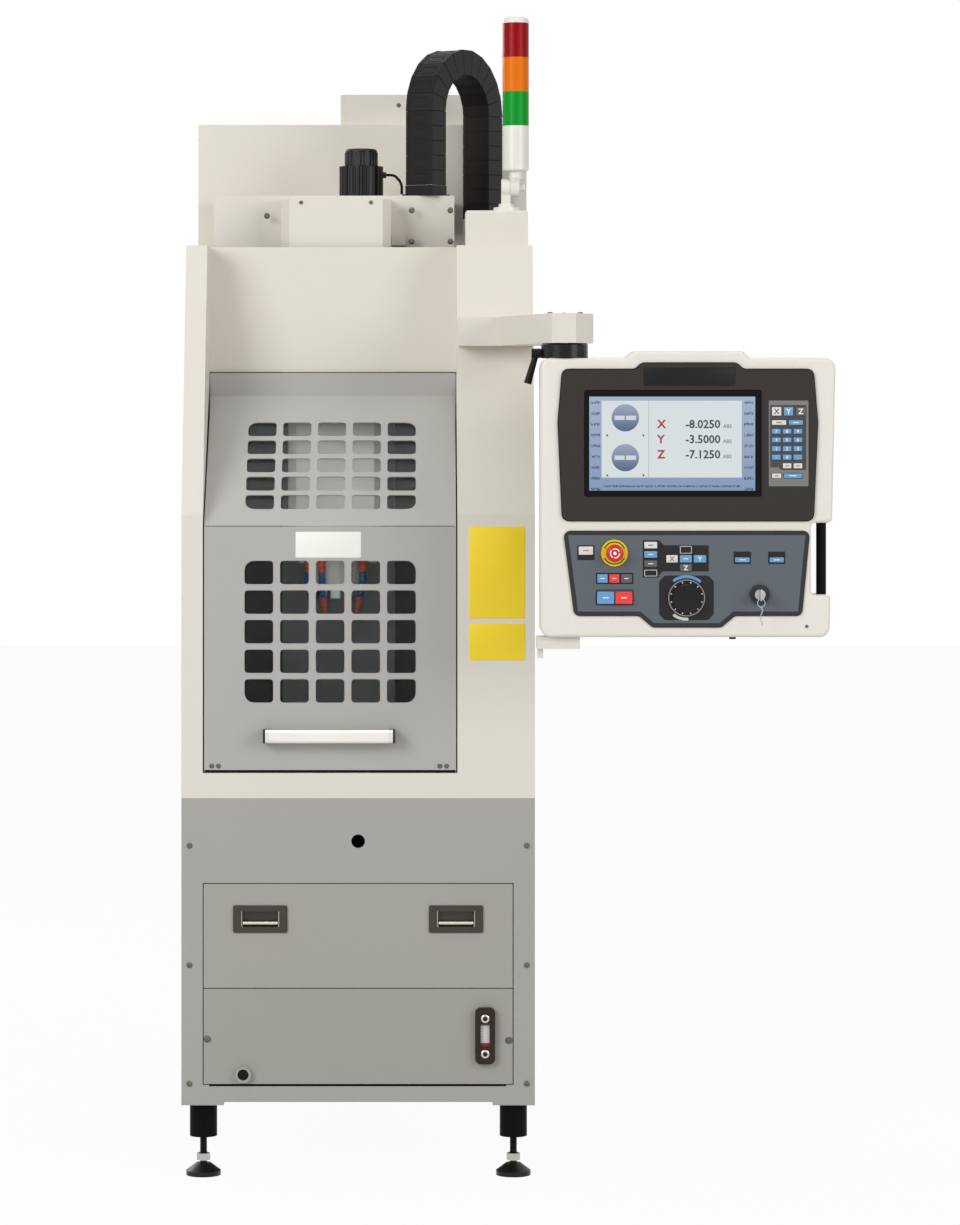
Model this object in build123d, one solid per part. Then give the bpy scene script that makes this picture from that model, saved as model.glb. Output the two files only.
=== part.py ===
"""A narrow vertical machining centre: base, enclosure, lifting door, head, light tower and pendant.

Millimetres, +Z up, floor at zero, the front faces -Y, X is zero on the middle of the cabinet.
"""
import math
import os

from build123d import *

# Cabinet and sheet metal
cabinet_width = 762.0
base_bottom = 164.0
base_height = 655.0
base_wall = 5.0
sheet = 3.0
overrun = 20.0
slide_gap = 0.4
seat_gap = 0.3
shaft_gap = 0.05

# Base cabinet front and its inside
bay_width = 670.0
bay_bottom = 201.0
bay_height = 435.0
port_radius = 14.7
port_height = 726.0
chute_margin = 45.0
chute_depth = 55.0
chute_setback = 70.0
runner_width = 52.0
runner_thickness = 4.0
runner_height = 426.0
runner_length = 640.0

# Legs and levelling feet
leg_plate = 91.0
leg_plate_thickness = 7.0
sleeve_radius = 29.5
sleeve_length = 72.0
stem_radius = 7.5
nut_sides = 6
nut_radius = 14.5
nut_height = 15.0
nut_level = 32.0
pad_radius = 37.5
pad_rim = 10.0
pad_height = 26.0
pad_neck_radius = 16.0

# Chip drawer
drawer_gap = 2.0
drawer_bottom = 410.0
drawer_thickness = 20.0
tray_depth = 600.0
tray_height = 150.0
tray_inset = 3.0
pull_edge = 122.0
pull_level = 558.5
pull_width = 117.0
pull_height = 59.0
pull_rim = 3.0
pull_corner = 4.0
pocket_width = 81.0
pocket_height = 33.5
pocket_depth = 14.0

# Coolant tank, sight gauge and drain
panel_thickness = 15.0
tank_inset = 9.0
tank_depth = 640.0
tank_height = 214.0
gauge_edge = 59.5
gauge_level = 308.0
gauge_width = 43.0
gauge_height = 122.0
gauge_thickness = 13.0
gauge_corner = 12.0
gauge_slot_width = 20.0
gauge_slot_height = 48.0
gauge_bolt_pitch = 76.0
gauge_bolt_radius = 8.0
gauge_bolt_height = 5.0
drain_edge = 85.4
drain_level = 224.0
drain_radius = 17.4
drain_bore = 12.0
drain_length = 12.0
drain_bore_depth = 9.0

# Enclosure
jamb_width = 46.0
column_face = 167.0
column_box_depth = 360.0
wall_top = 2018.0
lean_start = 1430.0
lean_depth = 195.0
sill_height = 54.0
sill_depth = 60.0
hood_clearance = 18.0
hood_bottom = 1740.0
hood_flange = 12.0
rear_cabinet_depth = 219.0
rear_door_thickness = 19.0
rear_door_gap = 0.5
rear_door_margin = 6.0
hinge_radius = 6.0
hinge_length = 60.0
hinge_pin_length = 20.0
rear_flange = 22.0
rear_handle_radius = 12.0
rear_handle_length = 110.0
tower_setback = 10.0
tower_top = 2318.0
top_box_left = -51.0
top_box_width = 373.0
top_box_setback = 30.0
top_box_depth = 170.0
top_box_height = 72.0
top_box_slot_height = 9.0
top_box_slot_length = 100.0
top_box_slot_pitch = 20.0
top_box_slot_count = 3

# Lifting door
door_gap = 3.0
door_recess = 2.0
door_bottom = 875.0
door_fold_level = 1405.0
door_seam = 1.5
door_strip_gap = 12.0
door_strip_bottom = 1687.0
door_strip_top = 1738.0
door_hem = 14.0
window_columns = 5
window_rows = 5
window_width = 62.0
window_pitch = 76.8
window_corner = 8.0
lower_window_height = 50.7
lower_window_pitch = 63.8
lower_grid_level = 1177.5
upper_window_height = 43.0
upper_window_pitch = 56.0
upper_grid_share = 0.458
pane_margin = 20.0
pane_thickness = 6.0
handle_length = 256.0
handle_level = 954.0
handle_offset = -62.0
handle_height = 30.0
handle_depth = 16.0
handle_standoff = 24.0
bracket_width = 14.0
cheek_gap = 4.0
cheek_corner_level = 1050.0
cheek_front_level = 892.0
rail_thickness = 12.0
rail_depth = 30.0
rail_bottom = 1050.0
rail_top = 1736.0
carriage_bottom = 1060.0
carriage_length = 175.0
carriage_thickness = 16.5
carriage_lap = 16.0
carriage_depth = 51.0
carriage_foot_depth = 12.0

# Bed, column, saddle and table
spindle_shift = 4.5
spindle_depth = 400.0
spindle_reach = 310.0
bed_gap = 29.5
bed_front_depth = 130.0
bed_height = 61.0
bed_edge = 6.0
column_width = 260.0
column_depth = 250.0
column_rear_gap = 40.0
column_top = 2250.0
column_rear_taper = 60.0
rail_bar_width = 20.0
rail_bar_height = 18.0
y_rail_spread = 180.0
y_rail_gap = 40.0
saddle_width = 300.0
saddle_length = 300.0
saddle_thickness = 27.0
saddle_key_height = 11.0
saddle_key_spread = 180.0
table_length = 250.0
table_width = 340.0
table_thickness = 28.0
slot_width = 12.0
slot_depth = 17.0
slot_head_width = 20.0
slot_head_height = 8.0
slot_pitch = 90.0
slot_count = 3
z_rail_spread = 160.0
z_rail_bottom = 1300.0
z_rail_top = 2000.0

# Head
head_width = 210.0
head_front_reach = 82.0
head_bottom = 1330.0
head_shoulder = 1980.0
head_neck_setback = 30.0
head_edge = 18.0
sleeve_nose_radius = 60.0
sleeve_nose_length = 68.0
spindle_bore = 30.0
spindle_shaft_length = 90.0
spindle_nose_radius = 44.0
spindle_nose_length = 36.0
spindle_taper_radius = 16.0
spindle_taper_depth = 48.0
head_cover_setback = 20.0
head_cover_bottom = 2020.0
head_cover_top = 2139.0
head_cover_rear_gap = 14.0
belt_cover_width = 246.0
belt_cover_offset = -54.0
belt_cover_reach = 75.0
belt_cover_top = 2127.0
belt_cover_chamfer = 19.0
motor_offset = 0.0
motor_setback = 100.0
motor_radius = 50.0
motor_height = 70.0
motor_flutes = 20
motor_flute_radius = 4.0
motor_cap_radius = 36.0
motor_cap_height = 40.0
motor_cap_edge = 6.0
terminal_gap = 1.0
terminal_width = 30.0
terminal_height = 25.0
terminal_depth = 22.0
terminal_lift = 6.0
gland_radius = 7.0
gland_length = 7.0
gland_root = 12.0
cable_radius = 3.0
cable_level = 51.0
cable_run = 18.0
cable_drop = 26.0
cable_reach = 35.0
cable_bend_share = 0.45
hose_radius = 7.0
hose_drop = 60.0
hose_reach = 44.0
hose_lean_share = 0.25
hose_bend = 22.0
hose_ring_radius = 71.0
hose_angles = (-150.0, -115.0, -65.0, -30.0)
nozzle_length = 24.0
nozzle_tip_radius = 3.5

# Cable chain
chain_edge = 234.0
anchor_reach = 55.5
chain_turn = 34.0
chain_arc_links = 11
chain_front_links = 5
chain_width = 72.0
chain_height = 57.0
chain_pitch = 33.5
chain_link_gap = 0.5
chain_top = 2331.0
chain_wall = 9.0
chain_rear_links = 7
anchor_height = 34.0

# Light tower
tower_box_left = 234.0
tower_box_width = 138.0
tower_box_front_depth = 215.0
tower_box_depth = 120.0
tower_box_height = 78.0
tower_box_edge = 4.0
lamp_x = 346.0
lamp_depth = 275.0
lamp_radius = 29.3
lamp_edge = 3.0
flange_radius = 28.5
flange_height = 9.0
pedestal_x = 325.0
pedestal_radius = 17.0
pedestal_height = 8.0
knuckle_x = 334.0
knuckle_level = 2149.0
knuckle_radius = 19.0
knuckle_disc = 20.0
knuckle_gap = 0.4
knob_radius = 9.0
knob_length = 12.0
coupler_radius = 14.5
coupler_bottom = 2169.0
knuckle_pin_radius = 5.0
knuckle_pin_length = 14.0
neck_width = 18.0
lamp_bottom = 2186.0
lamp_body_height = 100.0
lens_height = 76.0
lens_count = 3
cap_height = 13.0
cap_dome = 8.0

# Pendant arm and swivel
arm_bottom = 1795.0
arm_height = 62.0
arm_sheet = 4.0
arm_root_left = 217.0
arm_root_right = 300.0
arm_root_depth = 60.0
arm_boss_radius = 30.0
arm_front_depth = -310.0
arm_front_left = 408.0
arm_front_right = 458.0
arm_end_x = 497.0
arm_end_depth = -235.0
arm_back_x = 381.0
arm_back_depth = 150.0
swivel_x = 436.0
swivel_depth = -250.0
collar_radius = 49.0
collar_edge = 3.0
pivot_radius = 20.0
pivot_length = 40.0
lever_level = 1774.0
lever_head_radius = 10.0
lever_head_length = 20.0
lever_length = 66.0
lever_tip_radius = 6.0
lever_splay = 16.0
lever_bolt_radius = 5.0

# Pendant housing
pendant_left = 384.0
pendant_width = 616.0
pendant_taper = 13.0
pendant_bottom = 1181.5
pendant_top = 1763.6
pendant_crown = 14.4
crown_left = 578.0
crown_width = 227.0
crown_ramp = 18.0
pendant_front_depth = -300.0
pendant_thickness = 100.0
pendant_corner = 22.0
pendant_edge = 8.0
notch_left = 948.0
notch_corner = 10.0
notch_bottom = 1270.0
notch_top = 1420.0
grip_x = 972.5
grip_radius = 10.5
grip_set_back = 40.0
bezel_left = 421.0
bezel_width = 540.0
bezel_bottom = 1424.7
bezel_height = 315.3
bezel_crown = 13.0
bezel_crown_left = 595.0
bezel_crown_width = 198.0
bezel_thickness = 6.0
bezel_corner = 16.0
bezel_bulge = 9.0
bezel_bulge_share = 0.65
name_margin = 3.0
name_lift = 8.0
name_height = 39.0
name_recess = 1.2
name_corner = 3.0
screen_left = 475.0
screen_width = 369.5
screen_bottom = 1474.6
screen_height = 222.4
screen_recess = 2.5
screen_thickness = 2.0
housing_wall = 10.0
housing_pocket_margin = 22.0
screen_corner = 5.0
keypad_left = 859.5
keypad_bottom = 1496.5
keypad_width = 84.0
keypad_height = 178.0
key_thickness = 1.2
key_corner = 2.0
letter_column_shares = ((0.065, 0.315), (0.36, 0.61), (0.65, 0.925))
pair_column_shares = ((0.065, 0.435), (0.485, 0.85))
number_column_shares = ((0.065, 0.30), (0.335, 0.565), (0.60, 0.835))
last_column_shares = ((0.065, 0.315), (0.36, 0.825))
keypad_shares = (
    (0.821, 0.931, letter_column_shares),
    (0.713, 0.777, pair_column_shares),
    (0.609, 0.676, number_column_shares),
    (0.510, 0.575, number_column_shares),
    (0.405, 0.474, number_column_shares),
    (0.306, 0.375, number_column_shares),
    (0.205, 0.274, number_column_shares[1:]),
    (0.090, 0.154, last_column_shares),
)
reset_column_shares = ((0.062, 0.123),)
mode_column_shares = ((0.137, 0.182), (0.186, 0.229), (0.233, 0.280))
stack_column_shares = ((0.327, 0.382),)
jog_column_shares = ((0.416, 0.465), (0.471, 0.522), (0.527, 0.580))
option_column_shares = ((0.694, 0.756), (0.834, 0.894))
panel_key_shares = (
    (0.747, 0.841, reset_column_shares),
    (0.459, 0.555, mode_column_shares),
    (0.813, 0.889, stack_column_shares),
    (0.717, 0.793, stack_column_shares),
    (0.621, 0.697, stack_column_shares),
    (0.525, 0.601, stack_column_shares),
    (0.760, 0.845, jog_column_shares[1:2]),
    (0.668, 0.752, jog_column_shares),
    (0.575, 0.660, jog_column_shares[1:2]),
    (0.670, 0.768, option_column_shares),
)
panel_top = 1404.0
panel_bottom = 1226.0
panel_dip = 24.0
panel_left_top = 431.0
panel_left_bottom = 454.0
panel_right_top = 946.0
panel_right_bottom = 929.0
panel_dip_left = 617.0
panel_dip_right = 761.0
panel_dip_ramp = 28.0
panel_plate = 3.0
panel_corner = 14.0
stop_x = 538.0
stop_level = 1357.5
stop_ring_radius = 27.7
stop_ring_height = 5.0
stop_stem_radius = 10.0
stop_head_radius = 18.0
stop_head_height = 16.0
stop_stand = 14.0
stop_travel = 6.0
button_width = 35.0
button_length = 25.0
button_height = 6.0
button_corner = 3.0
start_x = 519.5
hold_x = 557.5
button_level = 1264.5
wheel_x = 688.0
wheel_level = 1264.0
wheel_radius = 38.0
wheel_thickness = 5.0
wheel_knob_radius = 29.0
wheel_knob_height = 14.0
wheel_grip_radius = 6.0
wheel_grip_offset = 19.0
wheel_grip_height = 12.0
wheel_stem_radius = 8.0
wheel_gap = 0.4
key_switch_x = 840.7
key_switch_level = 1271.0
key_switch_radius = 20.8
key_switch_height = 7.0
key_barrel_radius = 11.0
key_barrel_height = 6.0
key_bow_width = 20.0
key_bow_height = 26.0
key_bow_thickness = 3.0
key_blade_width = 8.0
key_blade_length = 10.0
lower_bracket_left = 377.0
lower_bracket_width = 90.0
lower_bracket_height = 25.0
lower_bracket_depth = 60.0
lower_stub_width = 12.0
lower_stub_height = 21.0
lower_stub_offset = 2.0

half_width = cabinet_width / 2
column_front_depth = spindle_depth + spindle_reach
bed_rear_depth = column_front_depth + column_depth
wall_depth = bed_rear_depth + column_rear_gap
cabinet_depth = wall_depth + rear_cabinet_depth
tower_front_depth = column_front_depth - tower_setback
head_front_depth = spindle_depth - head_front_reach
head_neck_depth = spindle_depth + head_neck_setback
head_cover_front_depth = spindle_depth + head_cover_setback
head_cover_rear_depth = tower_front_depth - head_cover_rear_gap
belt_cover_front_depth = spindle_depth - belt_cover_reach
motor_depth = spindle_depth + motor_setback
hood_depth = head_front_depth - hood_clearance
front_y = -cabinet_depth / 2
base_top = base_bottom + base_height
opening_left = -half_width + jamb_width
opening_right = half_width - column_face
opening_middle = (opening_left + opening_right) / 2
spindle_offset = opening_middle + spindle_shift
bed_width = opening_right - opening_left - 2 * bed_gap
chain_x = half_width - chain_edge

chain_radius = chain_arc_links * chain_pitch / math.pi
chain_front_bottom = chain_top - chain_front_links * chain_pitch
chain_depth = tower_front_depth - anchor_reach - 2 * chain_radius * math.cos(math.radians(chain_turn))

parts = {}


def span(x0, x1, depth0, depth1, z0, z1):
    """A block between two X, two depths behind the front plane and two heights."""
    block = Box(x1 - x0, depth1 - depth0, z1 - z0, align=(Align.MIN, Align.MIN, Align.MIN))
    return Pos(x0, front_y + depth0, z0) * block


def side_profile(points, x0, x1):
    """A solid whose outline in depth and height is drawn from the side, between two X."""
    outline = Polyline([(front_y + depth, z) for depth, z in points], close=True)
    return Pos(x0, 0, 0) * extrude(Plane.YZ * make_face(outline), amount=x1 - x0)


def plan_profile(points, z0, z1):
    """A solid whose outline in X and depth is drawn from above, between two heights."""
    outline = Polyline([(x, front_y + depth) for x, depth in points], close=True)
    return Pos(0, 0, z0) * extrude(make_face(outline), amount=z1 - z0)


def front_plate(sketch, depth, thickness):
    """A front-view sketch in X and Z, extruded from a depth towards the front."""
    plane = Plane(origin=(0, front_y + depth, 0), x_dir=(1, 0, 0), z_dir=(0, -1, 0))
    return extrude(plane * sketch, amount=thickness)


def front_disc(x, z, depth, radius, thickness):
    """A round disc that faces the front."""
    return front_plate(Pos(x, z) * Circle(radius), depth, thickness)


def front_rounded(x0, x1, z0, z1, corner, depth, thickness):
    """A plate with round corners that faces the front."""
    sketch = Pos((x0 + x1) / 2, (z0 + z1) / 2) * RectangleRounded(x1 - x0, z1 - z0, corner)
    return front_plate(sketch, depth, thickness)


def post(x, depth, radius, z0, z1):
    """An upright round post."""
    return Pos(x, front_y + depth, z0) * Cylinder(
        radius, z1 - z0, align=(Align.CENTER, Align.CENTER, Align.MIN)
    )


def mirrored(shape):
    """The same shape on the other side of the door."""
    return mirror(shape, about=Plane(origin=(opening_middle, 0, 0), z_dir=(1, 0, 0)))


# Base cabinet: a folded box with one bay for the drawer and the tank, a chip chute and drawer runners
def make_base_cabinet():
    box = span(-half_width, half_width, 0, cabinet_depth, base_bottom, base_top)
    box -= span(
        -half_width + base_wall, half_width - base_wall, base_wall, cabinet_depth - base_wall,
        base_bottom + base_wall, base_top - base_wall,
    )
    box -= span(-bay_width / 2, bay_width / 2, -overrun, overrun, bay_bottom, bay_bottom + bay_height)
    box -= span(
        opening_left + chute_margin, opening_right - chute_margin, chute_setback, chute_setback + chute_depth,
        base_top - overrun, base_top + overrun,
    )
    box -= front_disc(0, port_height, overrun, port_radius, 2 * overrun)
    for side in (-1, 1):
        outer = side * (half_width - base_wall)
        inner = outer - side * runner_width
        box += span(
            min(outer, inner), max(outer, inner), drawer_thickness + drawer_gap, runner_length,
            runner_height, runner_height + runner_thickness,
        )
        for depth in (0, cabinet_depth - leg_plate):
            edge = side * half_width
            box += span(
                min(edge, edge - side * leg_plate), max(edge, edge - side * leg_plate), depth,
                depth + leg_plate, base_bottom - leg_plate_thickness, base_bottom,
            )
    return box


leg_places = [
    (side * (half_width - leg_plate / 2), depth)
    for side in (-1, 1)
    for depth in (leg_plate / 2, cabinet_depth - leg_plate / 2)
]
sleeve_top = base_bottom - leg_plate_thickness


# Levelling foot: a turned pad with a waisted neck, a threaded stem and a lock nut
def make_foot(x, depth):
    outline = Polyline(
        (0, 0), (pad_radius, 0), (pad_radius, pad_rim), (pad_neck_radius, pad_height),
        (0, pad_height), close=True,
    )
    pad = Pos(x, front_y + depth, 0) * revolve(Plane.XZ * make_face(outline), Axis.Z)
    stem = post(x, depth, stem_radius, pad_height, sleeve_top - sleeve_length)
    nut_face = RegularPolygon(nut_radius, nut_sides) - Circle(stem_radius)
    nut = Pos(x, front_y + depth, nut_level) * extrude(nut_face, amount=nut_height)
    return [pad, stem, nut]


parts["base_cabinet"] = make_base_cabinet()
parts["leg_sleeves"] = Compound(
    children=[post(x, d, sleeve_radius, sleeve_top - sleeve_length, sleeve_top) for x, d in leg_places]
)
parts["levelling_feet"] = Compound(children=[piece for x, d in leg_places for piece in make_foot(x, d)])

# Chip drawer: folded front, two moulded pulls and a tray that runs on the base's runners
drawer_half = bay_width / 2 - drawer_gap
drawer_top = bay_bottom + bay_height - drawer_gap
pull_offset = drawer_half - pull_edge
tray_half = bay_width / 2 - tray_inset
tray_bottom = runner_height + runner_thickness + seat_gap


def make_drawer_front():
    front = span(-drawer_half, drawer_half, 0, drawer_thickness, drawer_bottom, drawer_top)
    front -= span(
        -drawer_half + sheet, drawer_half - sheet, sheet, drawer_thickness + overrun,
        drawer_bottom + sheet, drawer_top - sheet,
    )
    for side in (-1, 1):
        x = side * pull_offset
        front -= span(
            x - pocket_width / 2 - sheet - seat_gap, x + pocket_width / 2 + sheet + seat_gap,
            -overrun, overrun,
            pull_level - pocket_height / 2 - sheet - seat_gap,
            pull_level + pocket_height / 2 + sheet + seat_gap,
        )
    return front


def make_pull(x):
    rim = front_rounded(
        x - pull_width / 2, x + pull_width / 2, pull_level - pull_height / 2, pull_level + pull_height / 2,
        pull_corner, 0, pull_rim,
    )
    cup = span(
        x - pocket_width / 2 - sheet, x + pocket_width / 2 + sheet, 0, pocket_depth + sheet,
        pull_level - pocket_height / 2 - sheet, pull_level + pocket_height / 2 + sheet,
    )
    pocket = span(
        x - pocket_width / 2, x + pocket_width / 2, -overrun, pocket_depth,
        pull_level - pocket_height / 2, pull_level + pocket_height / 2,
    )
    return rim + cup - pocket


def make_tray():
    tray = span(
        -tray_half, tray_half, drawer_thickness, drawer_thickness + tray_depth, tray_bottom,
        tray_bottom + tray_height,
    )
    return tray - span(
        -tray_half + sheet, tray_half - sheet, drawer_thickness + sheet,
        drawer_thickness + tray_depth - sheet,
        tray_bottom + sheet, tray_bottom + tray_height + overrun,
    )


parts["drawer_front"] = make_drawer_front()
parts["drawer_pulls"] = Compound(children=[make_pull(-pull_offset), make_pull(pull_offset)])
parts["chip_tray"] = make_tray()

# Coolant tank: an open steel box behind a screwed panel that carries the sight gauge and the drain
tank_half = bay_width / 2 - tank_inset
tank_floor = base_bottom + base_wall
panel_top_edge = drawer_bottom - drawer_gap
gauge_offset = drawer_half - gauge_edge
drain_offset = drain_edge - drawer_half


def make_tank_panel():
    panel = span(-drawer_half, drawer_half, 0, panel_thickness, bay_bottom + drawer_gap, panel_top_edge)
    return panel - span(
        -drawer_half + sheet, drawer_half - sheet, sheet, panel_thickness + overrun,
        bay_bottom + drawer_gap + sheet, panel_top_edge - sheet,
    )


def make_tank():
    tank = span(
        -tank_half, tank_half, panel_thickness, panel_thickness + tank_depth, tank_floor,
        tank_floor + tank_height,
    )
    return tank - span(
        -tank_half + sheet, tank_half - sheet, panel_thickness + sheet, panel_thickness + tank_depth - sheet,
        tank_floor + sheet, tank_floor + tank_height + overrun,
    )


def make_sight_gauge():
    frame = front_rounded(
        gauge_offset - gauge_width / 2, gauge_offset + gauge_width / 2,
        gauge_level - gauge_height / 2, gauge_level + gauge_height / 2, gauge_corner, 0, gauge_thickness,
    )
    frame -= span(
        gauge_offset - gauge_slot_width / 2, gauge_offset + gauge_slot_width / 2, -gauge_thickness - overrun,
        -gauge_thickness / 2, gauge_level - gauge_slot_height / 2, gauge_level + gauge_slot_height / 2,
    )
    for side in (-1, 1):
        frame += front_disc(
            gauge_offset, gauge_level + side * gauge_bolt_pitch / 2, -gauge_thickness, gauge_bolt_radius,
            gauge_bolt_height,
        )
    return frame


parts["tank_panel"] = make_tank_panel()
parts["coolant_tank"] = make_tank()
parts["sight_gauge"] = make_sight_gauge()
parts["drain_fitting"] = (
    front_disc(drain_offset, drain_level, 0, drain_radius, drain_length)
    - front_disc(drain_offset, drain_level, drain_bore_depth - drain_length, drain_bore, overrun)
)


# Enclosure walls: double-skinned sheet walls whose front edge stands upright and then leans back
def make_leaning_wall(x0, x1, depth):
    def outline(skin, reach):
        return [
            (skin, base_top + skin), (skin, lean_start), (lean_depth + skin, wall_top - skin),
            (reach, wall_top - skin), (reach, base_top + skin),
        ]

    return side_profile(outline(0, depth), x0, x1) - side_profile(
        outline(sheet, depth + overrun), x0 + sheet, x1 - sheet
    )


def make_sill():
    profile = [
        (0, base_top), (0, base_top + sill_height), (sill_depth, base_top + sill_height),
        (sill_depth, base_top),
        (sill_depth - sheet, base_top), (sill_depth - sheet, base_top + sill_height - sheet),
        (sheet, base_top + sill_height - sheet), (sheet, base_top),
    ]
    return side_profile(profile, opening_left, opening_right)


def make_hood():
    rear = hood_depth + hood_flange
    profile = [
        (hood_depth, hood_bottom), (hood_depth, wall_top), (rear, wall_top), (rear, wall_top - sheet),
        (hood_depth + sheet, wall_top - sheet), (hood_depth + sheet, hood_bottom + sheet),
        (rear, hood_bottom + sheet), (rear, hood_bottom),
    ]
    return side_profile(profile, opening_left, opening_right)


# Rear cabinet: an open box for the electrics, closed by a door on two hinges
rear_door_depth = cabinet_depth - rear_door_thickness
hinge_x = -half_width + rear_door_margin
hinge_depth = cabinet_depth + hinge_radius + rear_door_gap
rear_door_right = half_width - rear_door_margin
rear_door_bottom = base_top + rear_door_margin
rear_door_top = wall_top - rear_door_margin
hinge_shares = (0.15, 0.85)


def make_rear_cabinet():
    box = span(-half_width, half_width, wall_depth, rear_door_depth - rear_door_gap, base_top, wall_top)
    box -= span(
        -half_width + sheet, half_width - sheet, wall_depth + sheet, rear_door_depth - rear_door_gap - sheet,
        base_top + sheet, wall_top - sheet,
    )
    box -= span(
        -half_width + rear_flange, half_width - rear_flange, wall_depth + sheet, cabinet_depth,
        base_top + rear_flange, wall_top - rear_flange,
    )
    for share in hinge_shares:
        top = rear_door_bottom + share * (rear_door_top - rear_door_bottom) - hinge_length / 2 - seat_gap
        box += post(hinge_x, hinge_depth, hinge_radius, top - hinge_pin_length, top)
        box += span(
            -half_width - sheet, -half_width, rear_door_depth - hinge_length, hinge_depth,
            top - hinge_pin_length, top,
        )
        box += span(
            -half_width - sheet, hinge_x, hinge_depth, hinge_depth + sheet, top - hinge_pin_length,
            top,
        )
    return box


def make_rear_door():
    door = span(hinge_x, rear_door_right, rear_door_depth, cabinet_depth, rear_door_bottom, rear_door_top)
    door -= span(
        hinge_x + sheet, rear_door_right - sheet, rear_door_depth - overrun, cabinet_depth - sheet,
        rear_door_bottom + sheet, rear_door_top - sheet,
    )
    for share in hinge_shares:
        middle = rear_door_bottom + share * (rear_door_top - rear_door_bottom)
        knuckle = post(
            hinge_x, hinge_depth, hinge_radius, middle - hinge_length / 2, middle + hinge_length / 2
        )
        leaf = span(
            hinge_x, hinge_x + hinge_length / 2, cabinet_depth, cabinet_depth + sheet,
            middle - hinge_length / 2, middle + hinge_length / 2,
        )
        door += knuckle + leaf
    latch_x = rear_door_right - rear_handle_length / 2
    latch_z = (rear_door_bottom + rear_door_top) / 2
    latch = span(
        latch_x - rear_handle_radius, latch_x + rear_handle_radius, cabinet_depth,
        cabinet_depth + rear_handle_radius,
        latch_z - rear_handle_length / 2, latch_z + rear_handle_length / 2,
    )
    return door + latch


def make_rear_tower():
    shell = span(-half_width, half_width, tower_front_depth, cabinet_depth, wall_top, tower_top)
    return shell - span(
        -half_width + sheet, half_width - sheet, tower_front_depth + sheet, cabinet_depth - sheet,
        wall_top - overrun, tower_top - sheet,
    )


def make_top_box():
    right = top_box_left + top_box_width
    front = tower_front_depth + top_box_setback
    rear = front + top_box_depth
    top = tower_top + top_box_height
    box = span(top_box_left, right, front, rear, tower_top, top)
    box -= span(
        top_box_left + sheet, right - sheet, front + sheet, rear - sheet, tower_top - overrun,
        top - sheet,
    )
    middle = (front + rear) / 2
    for row in range(top_box_slot_count):
        z = tower_top + top_box_height / 2 + (row - (top_box_slot_count - 1) / 2) * top_box_slot_pitch
        box -= span(
            top_box_left - overrun, top_box_left + overrun, middle - top_box_slot_length / 2,
            middle + top_box_slot_length / 2, z - top_box_slot_height / 2, z + top_box_slot_height / 2,
        )
    return box


parts["left_wall"] = make_leaning_wall(-half_width, opening_left, wall_depth)
parts["right_column"] = make_leaning_wall(opening_right, half_width, column_box_depth)
parts["right_wall"] = span(
    half_width - jamb_width, half_width, column_box_depth, wall_depth, base_top, wall_top
) - span(
    half_width - jamb_width + sheet, half_width - sheet, column_box_depth - overrun, wall_depth + overrun,
    base_top + sheet, wall_top - sheet,
)
parts["sill"] = make_sill()
parts["hood"] = make_hood()
parts["rear_cabinet"] = make_rear_cabinet()
parts["cabinet_door"] = make_rear_door()
parts["rear_tower"] = make_rear_tower()
parts["top_box"] = make_top_box()

# Lifting door: a flat lower sheet, a slanted upper sheet, clear panes and two cheeks on carriages
door_left = opening_left + door_gap
door_right = opening_right - door_gap
door_strip_depth = hood_depth - door_strip_gap
cheek_rear_depth = hood_depth - cheek_gap
carriage_front_depth = hood_depth - carriage_lap
carriage_rear_depth = carriage_front_depth + carriage_depth
upper_bottom = door_fold_level + door_seam / 2
lower_top = door_fold_level - door_seam / 2
slant_run = door_strip_depth - door_recess
slant_rise = door_strip_bottom - upper_bottom
slant_length = math.hypot(slant_run, slant_rise)
slant_sine = slant_run / slant_length
slant_cosine = slant_rise / slant_length
slant_back_depth = door_recess + sheet / slant_cosine
door_strip_back = door_strip_depth + sheet


def slant_back_level(depth):
    """Height of the slanted sheet's back face at a depth."""
    return upper_bottom + (depth - slant_back_depth) * slant_cosine / slant_sine


def slant_plane(share, lift):
    """A plane on the slanted sheet, at a share of its length and a lift off its front face."""
    along = share * slant_length
    depth = door_recess + along * slant_sine - lift * slant_cosine
    level = upper_bottom + along * slant_cosine + lift * slant_sine
    return Plane(
        origin=(opening_middle, front_y + depth, level), x_dir=(1, 0, 0), z_dir=(0, -slant_cosine, slant_sine)
    )


def window_cells(height, pitch):
    """The round-cornered openings of one window grid."""
    grid = GridLocations(window_pitch, pitch, window_columns, window_rows)
    return grid * RectangleRounded(window_width, height, window_corner)


def make_lower_panel():
    profile = [
        (door_recess, door_bottom), (door_recess, lower_top), (door_recess + sheet, lower_top),
        (door_recess + sheet, door_bottom + sheet), (door_recess + door_hem, door_bottom + sheet),
        (door_recess + door_hem, door_bottom),
    ]
    panel = side_profile(profile, door_left, door_right)
    cells = Pos(opening_middle, lower_grid_level) * Sketch(
        children=window_cells(lower_window_height, lower_window_pitch)
    )
    return panel - front_plate(cells, overrun, 2 * overrun)


def make_upper_panel():
    profile = [
        (door_recess, upper_bottom), (door_strip_depth, door_strip_bottom),
        (door_strip_depth, door_strip_top),
        (door_strip_back, door_strip_top), (door_strip_back, slant_back_level(door_strip_back)),
        (slant_back_depth, upper_bottom),
    ]
    panel = side_profile(profile, door_left, door_right)
    cells = Sketch(children=window_cells(upper_window_height, upper_window_pitch))
    return panel - extrude(slant_plane(upper_grid_share, 0) * cells, amount=overrun, both=True)


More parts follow.
